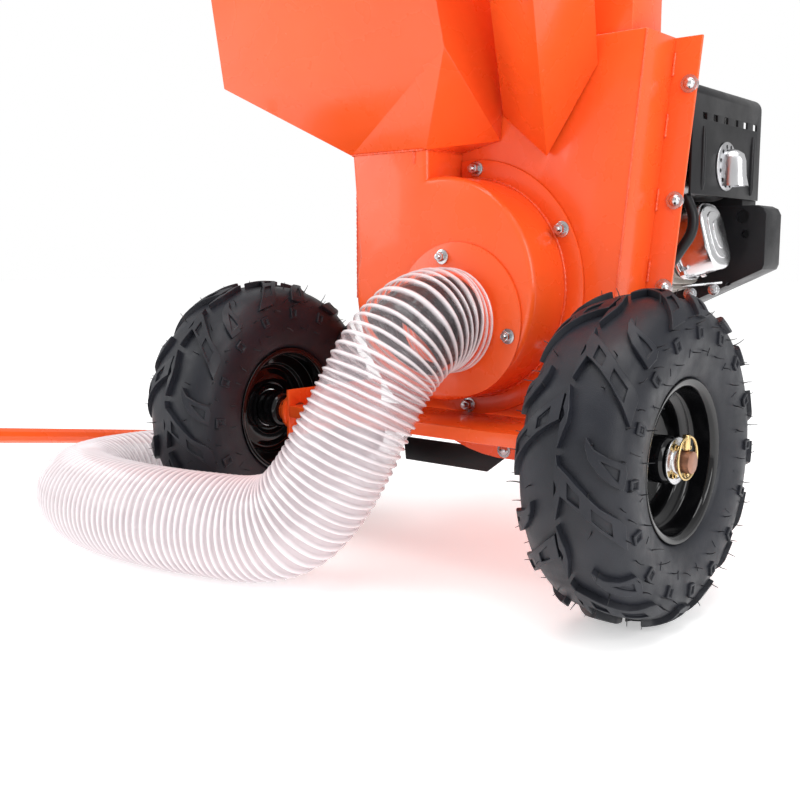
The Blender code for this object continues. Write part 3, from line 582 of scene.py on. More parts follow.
def vinyl():
    made = bpy.data.materials.new("clearVinyl")
    made.use_nodes = True
    tree = made.node_tree
    shader = tree.nodes["Principled BSDF"]
    shader.inputs["Coat Weight"].default_value = 0.5
    shader.inputs["Coat Roughness"].default_value = 0.05
    rib = tree.nodes.new("ShaderNodeAttribute")
    rib.attribute_name = "rib"
    tint = mixColours(tree, rib.outputs["Fac"], (0.66, 0.58, 0.61), (0.88, 0.81, 0.83))
    tree.links.new(tint, shader.inputs["Base Color"])
    # film alpha from the ramp of real milkiness and painted port shade: clear near the port over the painted shade,
    # milky farther out
    milkAndPortShade = tree.nodes.new("ShaderNodeAttribute")
    milkAndPortShade.attribute_name = "milkAndPortShade"
    filmClear = tree.nodes.new("ShaderNodeMapRange")
    filmClear.inputs["To Min"].default_value = 0.07
    filmClear.inputs["To Max"].default_value = 0.66
    tree.links.new(milkAndPortShade.outputs["Fac"], filmClear.inputs["Value"])
    ribClear = tree.nodes.new("ShaderNodeMapRange")
    ribClear.inputs["To Max"].default_value = 0.90
    tree.links.new(rib.outputs["Fac"], ribClear.inputs["Value"])
    tree.links.new(filmClear.outputs["Result"], ribClear.inputs["To Min"])
    tree.links.new(ribClear.outputs["Result"], shader.inputs["Alpha"])
    tree.links.new(placeBlotch(tree, 30, 0.10, 0.26), shader.inputs["Roughness"])
    return made


clearVinyl = vinyl()
hosePiece, hoseLength, hosePath = buildHose()
hand(hosePiece, "clearHose", "chassis", clearVinyl, ["hose"], 60)
hosePath[-1] = tuple(centreLine[-1])
print("hose", round(hoseLength, 3))

# nozzle, its handle and its grip
nozzle = frame["nodes"]["pickup_nozzle"]
handleBar = frame["nodes"]["nozzle_handle"]
grip = frame["nodes"]["handle_grip"]
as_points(hosePath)

# the two handle pieces and the nozzle keep their own shapes and take finishes
for piece, finish in ((handleBar, orangeEnamel), (grip, mouldedBlack), (nozzle, mouldedBlack)):
    piece.data.materials.clear()
    piece.data.materials.append(finish)
    chooseOnly(piece)
    bpy.ops.object.shade_smooth_by_angle(angle=math.radians(35))


# ---- sheet metal, frame and engine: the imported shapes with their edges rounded
plainPieces = {
    orangeEnamel: {
        "frame_deck": 0.0012,
        "frame_side_left": 0.001,
        "frame_side_right": 0.001,
        "engine_tray": 0.0012,
        "housing_front_panel": 0.0008,
        "housing_lid": 0.0008,
        "housing_band": 0.0008,
        "engine_plate": 0.0009,
        "hopper": 0.0006,
        "chipper_chute": 0.0007,
        "discharge_duct": 0.0007,
        "discharge_hood": 0.0007,
        "leg_bracket": 0.0007,
        "support_leg": 0.0012,
        "axle_spacer_left": 0.0006,
        "axle_spacer_right": 0.0006,
    },
    satinBlack: {
        "tank_stand": 0.001,
        "stone_guard": 0.001,
    },
    mouldedBlack: {
        "recoil_grip": 0.001,
        "engine_switch": 0.0006,
        "choke_lever": 0.0004,
        "throttle_lever": 0.0004,
    },
    castAlloy: {"crankcase": 0.002, "carburettor": 0.001, "rotor_disc": 0.0008, "rotor_shaft": 0.0008},
    bareSteel: {"hammer_1": 0.0008, "hammer_2": 0.0008},
    greySheet: {"hopper_flap": 0.0005},
    brownAxle: {"axle_left": 0.0006, "axle_right": 0.0006},
}
for finish, group in plainPieces.items():
    for node, width in group.items():
        refined(node, width, finish)
print("packed shapes refined:", sum(len(group) for group in plainPieces.values()))

# ---- tyres: a plain carcass with moulded lugs, kites, studs and vent hairs laid on it
tyre = {"middle": 0.273, "pitches": 16, "lugHigh": 0.0072, "hairs": 96, "rings": 192}
tyreRoute = [
    (0.0, 0.1592),
    (0.012, 0.1590),
    (0.024, 0.1580),
    (0.034, 0.1556),
    (0.0425, 0.1515),
    (0.0488, 0.1455),
    (0.0530, 0.1380),
    (0.0553, 0.1290),
    (0.0558, 0.1195),
    (0.0548, 0.1100),
    (0.0528, 0.1010),
    (0.0503, 0.0925),
    (0.0478, 0.0862),
    (0.0450, 0.0822),
]
tyreLine = [Vector((x, 0, r)) for x, r in tyreRoute]
tyreSteps, tyreArc = evenSteps(smoothRun(tyreLine, 8), 0.001)


# a spot on the tyre: turn from the top towards the front, v from the crown down the side, z above the rubber
def onTyre(wheelSign, half, turn, v, z):
    near = max(0.0, min(v, tyreArc - 0.002)) / tyreArc * (len(tyreSteps) - 1)
    i = min(int(near), len(tyreSteps) - 2)
    a, b = tyreSteps[i][1], tyreSteps[i + 1][1]
    spot = a.lerp(b, near - i)
    way = (b - a).normalized()
    across = spot.x - way.z * z
    radius = spot.z + way.x * z
    return Vector((
        wheelSign * tyre["middle"] + half * across,
        axleY - radius * math.sin(turn),
        axleZ + radius * math.cos(turn),
    ))


# a flat block with pockets, made once in (along, v, height), its face cut small enough to bend
def mouldedBlock(outline, pockets, high, depth, round, cell=0.0065):
    sunk = 0.0015  # how far the block reaches into the rubber below it
    piece = pushedOutline([(u, v, -sunk) for u, v in outline], (0, 0, high + sunk))
    for pocket in pockets:
        floorHigh = high - depth
        cutAway(piece, pushedOutline([(u, v, floorHigh) for u, v in pocket], (0, 0, depth + 0.002)))
    if round:
        addBevel(piece, round, 1, 40)
    chooseOnly(piece)
    bpy.ops.object.mode_set(mode="EDIT")
    us = [u for u, v in outline]
    vs = [v for u, v in outline]
    for low, high, axis in ((min(us), max(us), (1, 0, 0)), (min(vs), max(vs), (0, 1, 0))):
        count = int((high - low) / cell)
        for i in range(1, count + 1):
            place = low + (high - low) * i / (count + 1)
            bpy.ops.mesh.select_all(action="SELECT")
            bpy.ops.mesh.bisect(plane_co=Vector(axis) * place, plane_no=axis)
    bpy.ops.object.mode_set(mode="OBJECT")
    return piece


def laidOn(block, wheelSign, half, turn, lift=1.0):
    copy = bpy.data.objects.new("laid", block.data.copy())
    bpy.context.scene.collection.objects.link(copy)
    for vertex in copy.data.vertices:
        u, v, z = vertex.co
        fall = 1 - 0.34 * max(0.0, min(1.0, (v - 0.020) / 0.040))
        vertex.co = onTyre(wheelSign, half, turn + u / 0.160, v, z * fall * lift if z > 0 else z)
    return copy


longLug = mouldedBlock(
    [
        (0.000, 0.0025), (0.008, 0.013), (0.020, 0.026), (0.034, 0.039), (0.047, 0.0545), (0.055, 0.0590),
        (0.083, 0.0575), (0.066, 0.0470), (0.050, 0.0345), (0.038, 0.0225), (0.029, 0.0110), (0.024, 0.0022),
    ],
    [
        [(0.0135, 0.0125), (0.0245, 0.0235), (0.0345, 0.0235), (0.0275, 0.0125)],
        [(0.0345, 0.0330), (0.0490, 0.0475), (0.0625, 0.0475), (0.0490, 0.0360), (0.0455, 0.0330)],
    ],
    tyre["lugHigh"], 0.0032, 0.0007,
)
shortLug = mouldedBlock(
    [
        (-0.004, 0.0250), (0.006, 0.0330), (0.012, 0.0450), (0.016, 0.0585), (0.026, 0.0610),
        (0.042, 0.0580), (0.036, 0.0480), (0.028, 0.0385), (0.015, 0.0290), (0.005, 0.0255),
    ],
    [[(0.0150, 0.0385), (0.0215, 0.0540), (0.0335, 0.0530)]],
    tyre["lugHigh"], 0.0034, 0.0007,
)
kite = mouldedBlock(
    [(-0.028, 0.0), (-0.006, 0.0058), (0.006, 0.0062), (0.030, 0.0), (0.006, -0.0062), (-0.006, -0.0058)],
    [[(-0.005, 0.0), (0.001, 0.0026), (0.007, 0.0), (0.001, -0.0026)]],
    tyre["lugHigh"], 0.0022, 0.0006,
)
stud = mouldedBlock(
    [(-0.0066, 0.0672), (0.0066, 0.0672), (0.0066, 0.0800), (-0.0066, 0.0800)],
    [[(-0.0036, 0.0702), (0.0036, 0.0702), (0.0036, 0.0772), (-0.0036, 0.0772)]],
    0.0032, 0.0026, 0.0009, 0.02,
)
tick = mouldedBlock([(-0.0006, 0.087), (0.0006, 0.087), (0.0006, 0.0955), (-0.0006, 0.0955)], [], 0.0008, 0.0, 0, 0.02)


def carcass(side, sign):
    inner = [
        (0.0818, -0.043), (0.0775, -0.040), (0.0775, -0.030), (0.0860, -0.030), (0.105, -0.044), (0.130, -0.045), (0.148, -0.030),
    ]
    outer = [(point.z, point.x) for want, point in tyreSteps[:: 3]]
    profile = [(r, -x) for r, x in outer[::-1]] + outer[1:]
    lining = inner + [(r, -x) for r, x in inner[::-1]]
    start = (sign * tyre["middle"], axleY, axleZ)
    end = (sign * tyre["middle"] + sign, axleY, axleZ)
    return spun(profile + lining[::-1], start, end, tyre["rings"])


# short tapered vent hairs, bent a little, all over the tread's edges and sides
def ventHairs(sign):
    draw = random.Random(8 + sign)
    bpy.ops.object.select_all(action="DESELECT")
    bpy.ops.mesh.primitive_cone_add(vertices=3, radius1=0.00085, radius2=0.00034, depth=1)
    source = bpy.context.object
    bpy.ops.object.mode_set(mode="EDIT")
    bpy.ops.mesh.select_all(action="SELECT")
    for level in (-0.2, 0.15):
        bpy.ops.mesh.bisect(plane_co=(0, 0, level), plane_no=(0, 0, 1))
        bpy.ops.mesh.select_all(action="SELECT")
    bpy.ops.object.mode_set(mode="OBJECT")
    hairs = []
    for half in (-1, 1):
        for row, v in enumerate((0.030, 0.058, 0.066, 0.092)):
            for k in range(tyre["hairs"] // 4):
                turn = math.tau * (k + 0.5 * (row % 2) + draw.uniform(-0.22, 0.22)) / (tyre["hairs"] // 4)
                long = draw.uniform(0.008, 0.0135) * (0.8 if v > 0.06 else 1)
                root = onTyre(sign, half, turn, v, -0.001)
                tip = onTyre(sign, half, turn + draw.uniform(-0.02, 0.02), v + draw.uniform(-0.003, 0.003), long)
                sag = Vector((draw.uniform(-1, 1), draw.uniform(-1, 1), draw.uniform(-1, 1))) * 0.0022
                if tip.z < 0.004 or abs(tip.x) > 0.340:
                    continue
                copy = bpy.data.objects.new("hair", source.data.copy())
                bpy.context.scene.collection.objects.link(copy)
                way = toLine(root, tip)
                for vertex in copy.data.vertices:
                    t = vertex.co.z + 0.5
                    vertex.co = way @ Vector((vertex.co.x, vertex.co.y, t * (tip - root).length)) + sag * (t * t - t) * 2
                hairs.append(copy)
    bpy.data.objects.remove(source, do_unlink=True)
    return joinPieces(hairs)


for side, sign in (("left", -1), ("right", 1)):
    laid = [carcass(side, sign)]
    pitch = math.tau / tyre["pitches"]
    for half in (-1, 1):
        for k in range(tyre["pitches"]):
            turn = k * pitch + (pitch if half < 0 else 0)
            laid.append(laidOn(stud, sign, half, k * pitch + 0.40, 1.4))
            laid.append(laidOn(tick, sign, half, k * pitch + 0.16))
            if k % 2 == 0:
                laid.append(laidOn(longLug, sign, half, turn - 0.10))
            else:
                laid.append(laidOn(shortLug, sign, half, turn + 0.15))
    for k in range(tyre["pitches"]):
        laid.append(laidOn(kite, sign, 1, k * pitch + 0.02))
    wholeTyre = joinPieces(laid)
    hand(wholeTyre, f"{side}Tyre", f"wheel_{side}", tyreRubber, [f"tyre_{side}"], 28)
    hand(ventHairs(sign), f"{side}VentHairs", f"wheel_{side}", hairRubber, (), 60)
for mould in (longLug, shortLug, kite, stud, tick):
    bpy.data.objects.remove(mould, do_unlink=True)
print("tyres made")


# ---- wheels: stepped glossy rims, hub plates with their nuts, axle ends and lynch pins
for side, sign in (("left", -1), ("right", 1)):
    start = (sign * tyre["middle"], axleY, axleZ)
    end = (sign * (tyre["middle"] + 1), axleY, axleZ)
    outside = [
        (0.0805, 0.046), (0.0812, 0.0445), (0.0805, 0.0432), (0.0768, 0.0430), (0.0747, 0.0410), (0.0747, 0.0205), (0.0620, 0.0145),
        (0.0620, -0.0145), (0.0747, -0.0205), (0.0747, -0.0410), (0.0768, -0.0430), (0.0805, -0.0432), (0.0812, -0.0445), (0.0805, -0.046),
    ]
    inside = [
        (0.0745, -0.0450), (0.0717, -0.0400), (0.0717, -0.0225), (0.0585, -0.0168), (0.0583, -0.0105), (0.0520, -0.0080),
        (0.0440, -0.0112), (0.0340, -0.0112), (0.0310, -0.0092), (0.0243, -0.0092),
        (0.0243, -0.0060), (0.0320, -0.0060), (0.0350, -0.0080), (0.0430, -0.0080), (0.0510, -0.0048), (0.0560, -0.0020),
        (0.0583, 0.0030), (0.0583, 0.0125), (0.0600, 0.0160), (0.0700, 0.0200), (0.0717, 0.0235), (0.0717, 0.0400), (0.0740, 0.0440),
    ]
    piece = spun(eased(outside + inside, 0.0016, 3), start, end, 96)
    hand(piece, f"{side}Rim", f"wheel_{side}", glossBlack, [f"rim_{side}"], 40)
    hub = [
        (0.0116, -0.0400), (0.0190, -0.0400), (0.0230, -0.0360), (0.0238, -0.0300), (0.0238, 0.0290), (0.0205, 0.0330),
        (0.0150, 0.0352), (0.0116, 0.0352),
    ]
    hand(spun(eased(hub, 0.0012, 2), start, end, 64), f"{side}Hub", f"wheel_{side}", glossBlack, [f"hub_{side}"], 35)
    plate = [
        (0.0116, 0.0354), (0.0232, 0.0354), (0.0236, 0.0366), (0.0232, 0.0380), (0.0178, 0.0384), (0.0160, 0.0400),
        (0.0135, 0.0412), (0.0116, 0.0412),
    ]
    hand(spun(eased(plate, 0.0006, 2), start, end, 64), f"{side}HubPlate", f"wheel_{side}", zincPlate, (), 35)
    nuts = []
    for k in range(4):
        angle = math.radians(38 + 90 * k)
        spot = Vector((start[0], axleY - 0.0190 * math.sin(angle), axleZ + 0.0190 * math.cos(angle)))
        out = Vector((sign, 0, 0))
        nut = rod(spot + out * 0.0375, spot + out * 0.0422, 0.0037, sides=6)
        nuts.append(addBevel(nut, 0.0006, 2))
        nuts.append(addBevel(rod(spot + out * 0.0420, spot + out * 0.0448, 0.0023, sides=14), 0.0004, 1))
    hand(joinPieces(nuts), f"{side}HubNuts", f"wheel_{side}", brassWire, (), 35)
    pinX = sign * (tyre["middle"] + 0.0465)
    loop = []
    for i in range(49):
        angle = math.radians(-172 + 344 * i / 48)
        loop.append((pinX + sign * 0.0017, axleY + 0.021 * math.sin(angle), axleZ + 0.004 - 0.021 * math.cos(angle)))
    pin = [bar(loop, 0.0013, 4)]
    pin.append(addBevel(rod((pinX, axleY, axleZ + 0.0268), (pinX, axleY, axleZ + 0.0114), 0.0038, sides=28), 0.0008, 2))
    hand(joinPieces(pin), f"{side}LynchPin", bodyOf[f"lynch_pin_{side}"], brassWire, [f"lynch_pin_{side}"], 60)
print("wheels made")

# ---- front casing: one rounded shell over the drum and its throat
casing = {
    "radius": 0.129,
    "front": 0.0207,
    "back": 0.0904,
    "top": 0.485,
    "lean": 0.0906,
    "throatRight": -0.0185,
    "wall": 0.0026,
    "bend": 0.011,
    "port": (0.0278, 0.2920),
}


def casingOutline(steps=84):
    radius = casing["radius"]
    footX = -radius + 0.0088
    join = math.asin(0.038 / radius)
    first = math.acos(casing["throatRight"] / radius)
    points = [(casing["throatRight"], casing["top"])]
    for i in range(steps + 1):
        angle = first + (-math.pi - join - first) * i / steps
        points.append((radius * math.cos(angle), rotorZ + radius * math.sin(angle)))
    points.append((footX - (casing["top"] - rotorZ) * casing["lean"], casing["top"]))
    return points


def pickEdges(piece, wanted):
    chooseOnly(piece)
    bpy.ops.object.mode_set(mode="EDIT")
    bpy.ops.mesh.select_all(action="DESELECT")
    bpy.ops.mesh.select_mode(type="EDGE")
    bpy.ops.object.mode_set(mode="OBJECT")
    found = 0
    for edge in piece.data.edges:
        a, b = (piece.data.vertices[i].co for i in edge.vertices)
        edge.select = wanted(a, b)
        found += edge.select
    bpy.ops.object.mode_set(mode="EDIT")
    return found


def extrudedPlate(outline, low, high):
    return pushedOutline([(x, low + axleY, z) for x, z in outline], (0, high - low, 0))


def casingShell():
    piece = extrudedPlate(casingOutline(), casing["front"], casing["back"])
    chooseOnly(piece)
    bpy.ops.object.mode_set(mode="EDIT")
    bpy.ops.mesh.select_all(action="DESELECT")
    bpy.ops.mesh.select_mode(type="FACE")
    bpy.ops.object.mode_set(mode="OBJECT")
    backY = casing["back"] + axleY
    for face in piece.data.polygons:
        isBack = abs(face.normal.y - 1) < 0.001 and abs(face.center.y - backY) < 0.001
        isTop = face.normal.z > 0.99 and face.center.z > casing["top"] - 0.001
        face.select = isBack or isTop
    bpy.ops.object.mode_set(mode="EDIT")
    bpy.ops.mesh.delete(type="FACE")
    bpy.ops.object.mode_set(mode="OBJECT")
    frontY = casing["front"] + axleY

    def onFront(a, b):
        top = casing["top"] - 0.0005
        return abs(a.y - frontY) < 0.0002 and abs(b.y - frontY) < 0.0002 and not (a.z > top and b.z > top)

    pickEdges(piece, onFront)
    bpy.ops.mesh.bevel(offset=casing["bend"], segments=6, affect="EDGES", clamp_overlap=True)
    bpy.ops.object.mode_set(mode="OBJECT")
    addWall(piece, casing["wall"])
    x, z = casing["port"]
    hole = rod((x, frontY - 0.01, z), (x, frontY + 0.01, z), 0.049, sides=64)
    cutAway(piece, hole)
    return hand(piece, "casingShell", "chassis", orangeEnamel, ["casing_band", "casing_front"], 35)


casingShell()

# bolted ring round the drum, its bead of weld, and its nuts on welded studs
ringFront = 0.0877 + axleY
ringProfile = [(0.1293, 0.0), (0.1520, 0.0), (0.1520, 0.0030), (0.1293, 0.0030)]
ring = spun(eased(ringProfile, 0.0010, 2), (0, ringFront, rotorZ), (0, ringFront + 1, rotorZ), 144)
cutAway(ring, block((-0.40, ringFront - 0.05, rotorZ + 0.033), (-0.0175, ringFront + 0.05, 0.60), 0))
hand(ring, "casingRing", "chassis", orangeEnamel, ["casing_ring"], 35)


def circlePoints(centre, radius, first, last, steps, y):
    points = []
    for i in range(steps + 1):
        angle = math.radians(first + (last - first) * i / steps)
        points.append((centre[0] + radius * math.cos(angle), y, centre[1] + radius * math.sin(angle)))
    return points


weldBead(circlePoints((0, rotorZ), 0.1298, 96, -192, 150, ringFront - 0.0006), 0.0017, "ringWeld")


def hexNut(place, out, size, high, stud, name, washer=None, body="chassis", material=None):
    place, out = Vector(place), Vector(out).normalized()
    pieces = []
    base = 0
    if washer:
        pieces.append(addBevel(rod(place, place + out * 0.0016, washer, sides=32), 0.0004, 2))
        base = 0.0014
    nut = rod(place + out * base, place + out * (base + high), size / 2 / math.cos(math.radians(30)), sides=6)
    pieces.append(addBevel(nut, size * 0.07, 2))
    face = base + high
    pieces.append(addBevel(rod(place + out * (face - 0.001), place + out * (face + 0.0006), size * 0.44, sides=24), 0.0002, 1))
    if stud:
        rings = []
        for i in range(9):
            reach = base + high + stud * i / 8
            rings.append((size * (0.245 if i % 2 else 0.275), reach))
        profile = [(0.0, base + high - 0.001), *rings, (0.0, base + high + stud + 0.0004)]
        pieces.append(spun(profile, place, place + out, 20))
    return hand(joinPieces(pieces), name, body, material or zincPlate, (), 35)


ringNuts = {"circle": 0.1412, "size": 0.0115, "angles": (88, 29, -31, -91, -151)}
for i, angle in enumerate(ringNuts["angles"]):
    at = math.radians(angle)
    place = (ringNuts["circle"] * math.cos(at), ringFront - 0.0001, rotorZ + ringNuts["circle"] * math.sin(at))
    hexNut(place, (0, -1, 0), ringNuts["size"], 0.0085, 0.0045, f"ringNut{i + 1}", 0.0092)

# port cover with its collar, and its three nuts
coverBack = 0.0204 + axleY
cover = [
    (0.0490, 0.0), (0.0880, 0.0), (0.0880, 0.0030), (0.0530, 0.0030), (0.0515, 0.0040), (0.0515, 0.0190), (0.0490, 0.0190),
]
piece = spun(eased(cover, 0.0007, 2), (portX, coverBack, portZ), (portX, coverBack - 1, portZ), 128)
hand(piece, "portCover", "chassis", orangeEnamel, ["port_cover"], 35)
for i, angle in enumerate((105, -12, 229)):
    at = math.radians(angle)
    place = (portX + 0.074 * math.cos(at), 0.0171 + axleY, portZ + 0.074 * math.sin(at))
    hexNut(place, (0, -1, 0), 0.0098, 0.0068, 0.0034, f"portNut{i + 1}", 0.0086)
    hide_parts(f"port_nut_{i + 1}")
print("casing, ring and port made")

# a gloss black sleeve inside the first bend of the hose: painted shade for the dark inside near the port
shadeSleeve = {"radius": 0.0500, "wall": 0.0012, "from": 0.030, "to": 0.088}


def hoseShadeSleeve():
    steps, length = evenSteps(centreLine, 0.0035)
    chosen = [step for step in framesAlong(steps) if shadeSleeve["from"] <= step[0] <= shadeSleeve["to"]]
    around = 64

    def spot(row, column):
        want, place, side, up = chosen[row]
        ripple = 0.0010 * math.sin(want / hose["pitch"] * math.tau)
        angle = column / around * math.tau
        return place + (side * math.cos(angle) + up * math.sin(angle)) * (shadeSleeve["radius"] + ripple)

    piece = outward(gridPiece(len(chosen), around + 1, spot))
    addWall(piece, shadeSleeve["wall"])
    return hand(piece, "hoseShadeSleeve", "chassis", glossBlack, (), 60)


hoseShadeSleeve()

# ---- welds, plate bolts and hopper seams
frontY = casing["front"] + axleY
throatLeft = -casing["radius"] + 0.0088 - (casing["top"] - rotorZ) * casing["lean"]
weldBead([(throatLeft + 0.002, frontY - 0.0004, 0.4858), (-0.0215, frontY - 0.0004, 0.4858)], 0.0016, "throatWeld")
sideX = throatLeft - 0.0004
weldBead([(sideX, frontY + 0.004, 0.4858), (sideX, 0.086 + axleY, 0.4858)], 0.0015, "throatSideWeld")
weldBead([(-0.0180, frontY + 0.004, 0.4858), (-0.0180, 0.086 + axleY, 0.4858)], 0.0015, "throatRightWeld")
weldBead([(-0.0360, frontY - 0.0002, 0.4835), (-0.0360, frontY - 0.0002, 0.4710)], 0.0017, "throatTack")


def plateEdge(sign, z, grow):
    if sign < 0:
        return -0.190 - grow
    lean = math.atan(0.1)
    return (0.190 + grow) * math.cos(lean) + (z - rotorZ + (0.190 + grow) * math.sin(lean)) * 0.1


plateBolts = {"levels": (0.3290, 0.4255, 0.5500), "in": 0.0215, "circle": 0.2085}
plateFront = 0.161 + axleY
dome = [
    (0.0, 0.0060), (0.0030, 0.0056), (0.0056, 0.0038), (0.0066, 0.0014), (0.0098, 0.0013), (0.0100, 0.0), (0.0, 0.0),
]


def plateBolt(x, z, label):
    head = spun(dome, (x, plateFront, z), (x, plateFront - 1, z), 28)
    hand(head, f"plateBolt{label}", "chassis", zincPlate, (), 40)
    hexNut((x, plateFront + 0.004, z), (0, 1, 0), 0.011, 0.0065, 0.003, f"plateNut{label}", 0.0088)


for sign, side in ((-1, "Left"), (1, "Right")):
    for i, z in enumerate(plateBolts["levels"]):
        plateBolt(plateEdge(sign, z, plateBolts["in"]), z, f"{side}{i + 1}")
for i, angle in enumerate((-28, -58, -90, -122, -152)):
    at = math.radians(angle)
    plateBolt(plateBolts["circle"] * math.cos(at), rotorZ + plateBolts["circle"] * math.sin(at), f"Low{i + 1}")
for sign, side in ((-1, "Left"), (1, "Right")):
    for i, low in enumerate((0.335, 0.415, 0.495, 0.560)):
        run = [(plateEdge(sign, z, 0.0010), plateFront - 0.0008, z) for z in (low, low + 0.012, low + 0.024)]
        weldBead(run, 0.0017, f"stitch{side}{i + 1}")
    panelEdge = [(plateEdge(sign, z, -0.0004), 0.0915 + axleY, z) for z in (0.31, 0.45, 0.598)]
    weldBead(panelEdge, 0.0011, f"panelSeam{side}")
print("welds and plate bolts made")

# ---- engine: leaning cylinder's cover, exhaust, guard, shroud and the covers behind
crankTilt = math.radians(16)


def leanPlace():
    return Matrix.Translation((0, axleY, rotorZ)) @ Matrix.Rotation(-crankTilt, 4, "Y")


def roundOutline(halfWide, halfHigh, power, steps=48):
    points = []
    for i in range(steps):
        angle = math.tau * i / steps
        c, s = math.cos(angle), math.sin(angle)
        points.append((
            halfWide * math.copysign(abs(c) ** (2 / power), c),
            halfHigh * math.copysign(abs(s) ** (2 / power), s),
        ))
    return points


# an outline of (y, across) pushed out along x, and eased at its outer edge
def coverBlock(outline, low, high, round, centre=(0, 0)):
    piece = pushedOutline([(low, y + centre[0], z + centre[1]) for y, z in outline], (high - low, 0, 0))
    if round:
        addBevel(piece, round, 4, 60)
    return piece


def valveCover():
    y = 0.2775
    stack = [
        coverBlock(roundOutline(0.0350, 0.0435, 3.4), 0.1863, 0.1905, 0.0010, (y, 0)),
        coverBlock(roundOutline(0.0322, 0.0408, 2.9), 0.1900, 0.2330, 0.0055, (y, 0)),
        coverBlock(roundOutline(0.0215, 0.0290, 2.6), 0.2320, 0.2345, 0.0012, (y, 0)),
        coverBlock(roundOutline(0.0120, 0.0175, 2.2), 0.2340, 0.2356, 0.0008, (y, 0)),
    ]
    for dy, dz in ((-0.026, -0.033), (0.026, -0.033), (-0.026, 0.033), (0.026, 0.033)):
        head = rod((0.1900, y + dy * 1.13, dz * 1.12), (0.1965, y + dy * 1.13, dz * 1.12), 0.0048, sides=6)
        stack.append(addBevel(head, 0.0005, 2))
    piece = joinPieces(stack)
    piece.data.transform(leanPlace())
    return hand(piece, "valveCover", "chassis", brightCover, ["valve_cover"], 30)


valveCover()


def cylinderFins():
    y = 0.2775
    fins = []
    for i in range(8):
        out = 0.1060 + 0.0101 * i
        reach = 0.0505 if i < 7 else 0.046
        fins.append(coverBlock(roundOutline(reach, reach, 5, 40), out, out + 0.0032, 0.0008, (y, 0)))
    fins.append(coverBlock(roundOutline(0.040, 0.040, 4, 40), 0.1042, 0.1850, 0, (y, 0)))
    plug = rod((0.168, y - 0.010, 0.030), (0.188, y - 0.030, 0.058), 0.0075, 0.006, 24)
    fins.append(plug)
    piece = joinPieces(fins)
    piece.data.transform(leanPlace())
    return hand(piece, "cylinderFins", "chassis", warmAlloy, ["cylinder_barrel"], 30)


cylinderFins()

guard = {"face": 0.2250, "wall": 0.0028, "low": 0.4345, "high": 0.5600, "near": 0.196, "far": 0.398}


# the exhaust guard is one sheet bent over the muffler, with two pressed beads and vent slots
def exhaustGuard():
    bend = 0.014
    reach = bend - guard["wall"]
    outline = [(0.092, guard["high"])]
    for i in range(9):
        angle = math.radians(90 - 90 * i / 8)
        outline.append((
            guard["face"] - bend + bend * math.cos(angle),
            guard["high"] - bend + bend * math.sin(angle),
        ))
    outline.append((guard["face"], guard["low"]))
    inner = [(0.092, guard["high"] - guard["wall"])]
    for i in range(9):
        angle = math.radians(90 - 90 * i / 8)
        inner.append((
            guard["face"] - bend + reach * math.cos(angle),
            guard["high"] - bend + reach * math.sin(angle),
        ))
    inner.append((guard["face"] - guard["wall"], guard["low"]))
    piece = extrudedPlate(outline + inner[::-1], guard["near"], guard["far"])
    for i in range(6):
        y = 0.222 + 0.030 * i
        slot = block((guard["face"] - 0.02, y + axleY, 0.520), (guard["face"] + 0.02, y + 0.012 + axleY, 0.5275), 0)
        cutAway(piece, slot)
        slot = block((0.105, y + axleY, 0.53), (0.195, y + 0.010 + axleY, 0.58), 0)
        cutAway(piece, slot)
    addBevel(piece, 0.0006, 2, 50)
    beads = []
    for y in (0.226, 0.372):
        run = [(guard["face"] - 0.0002, y + axleY, z) for z in (0.440, 0.448, 0.500, 0.512)]
        beads.append(bar(run, 0.0034, 4, radii=[0.5, 1, 1, 0.5]))
    slotShadePlate = block(  # black plate behind the face's slots, closing the view through them: painted shade for the dark inside of the guard
        (0.1970, guard["near"] + axleY + 0.003, 0.500),
        (0.2000, guard["far"] + axleY - 0.003, guard["high"] - guard["wall"] - 0.0005),
        0,
    )
    piece = joinPieces([piece, slotShadePlate, *beads])
    return hand(piece, "exhaustGuard", "chassis", satinBlack, ["muffler_guard"], 30)


exhaustGuard()


def exhaustOutlet():
    y, z, x = 0.292 + axleY, 0.4706, 0.2253
    disc = [(0.0, 0.0), (0.0290, 0.0), (0.0290, 0.0016), (0.0262, 0.0030), (0.0, 0.0030)]
    plate = spun(eased(disc, 0.0006, 2), (x, y, z), (x + 1, y, z), 64)
    for i in range(12):
        angle = math.tau * (i + 0.5) / 12
        spot = (y + 0.0232 * math.sin(angle), z + 0.0232 * math.cos(angle))
        cutAway(plate, rod((x - 0.01, *spot), (x + 0.02, *spot), 0.0027, sides=14))
    hand(plate, "exhaustDisc", "chassis", castAlloy, ["exhaust_outlet"], 35)
    shell = [(0.0, 0.0205), (0.0070, 0.0190), (0.0118, 0.0140), (0.0135, 0.0060), (0.0142, -0.0120), (0.0160, -0.0235)]
    inner = [(max(r - 0.0014, 0.0), h - (0.0014 if r < 0.012 else 0)) for r, h in shell]
    hood = spun(shell + inner[::-1], (0, 0, 0), (0, 0, 1), 48)
    hood.data.transform(Matrix.Translation((x + 0.0030, y, z)) @ Matrix.Diagonal((1.55, 1, 1, 1)))
    cutAway(hood, block((x - 0.06, y - 0.05, z - 0.05), (x + 0.0025, y + 0.05, z + 0.05), 0))
    hand(hood, "exhaustDeflector", "chassis", brightCover, (), 50)


exhaustOutlet()


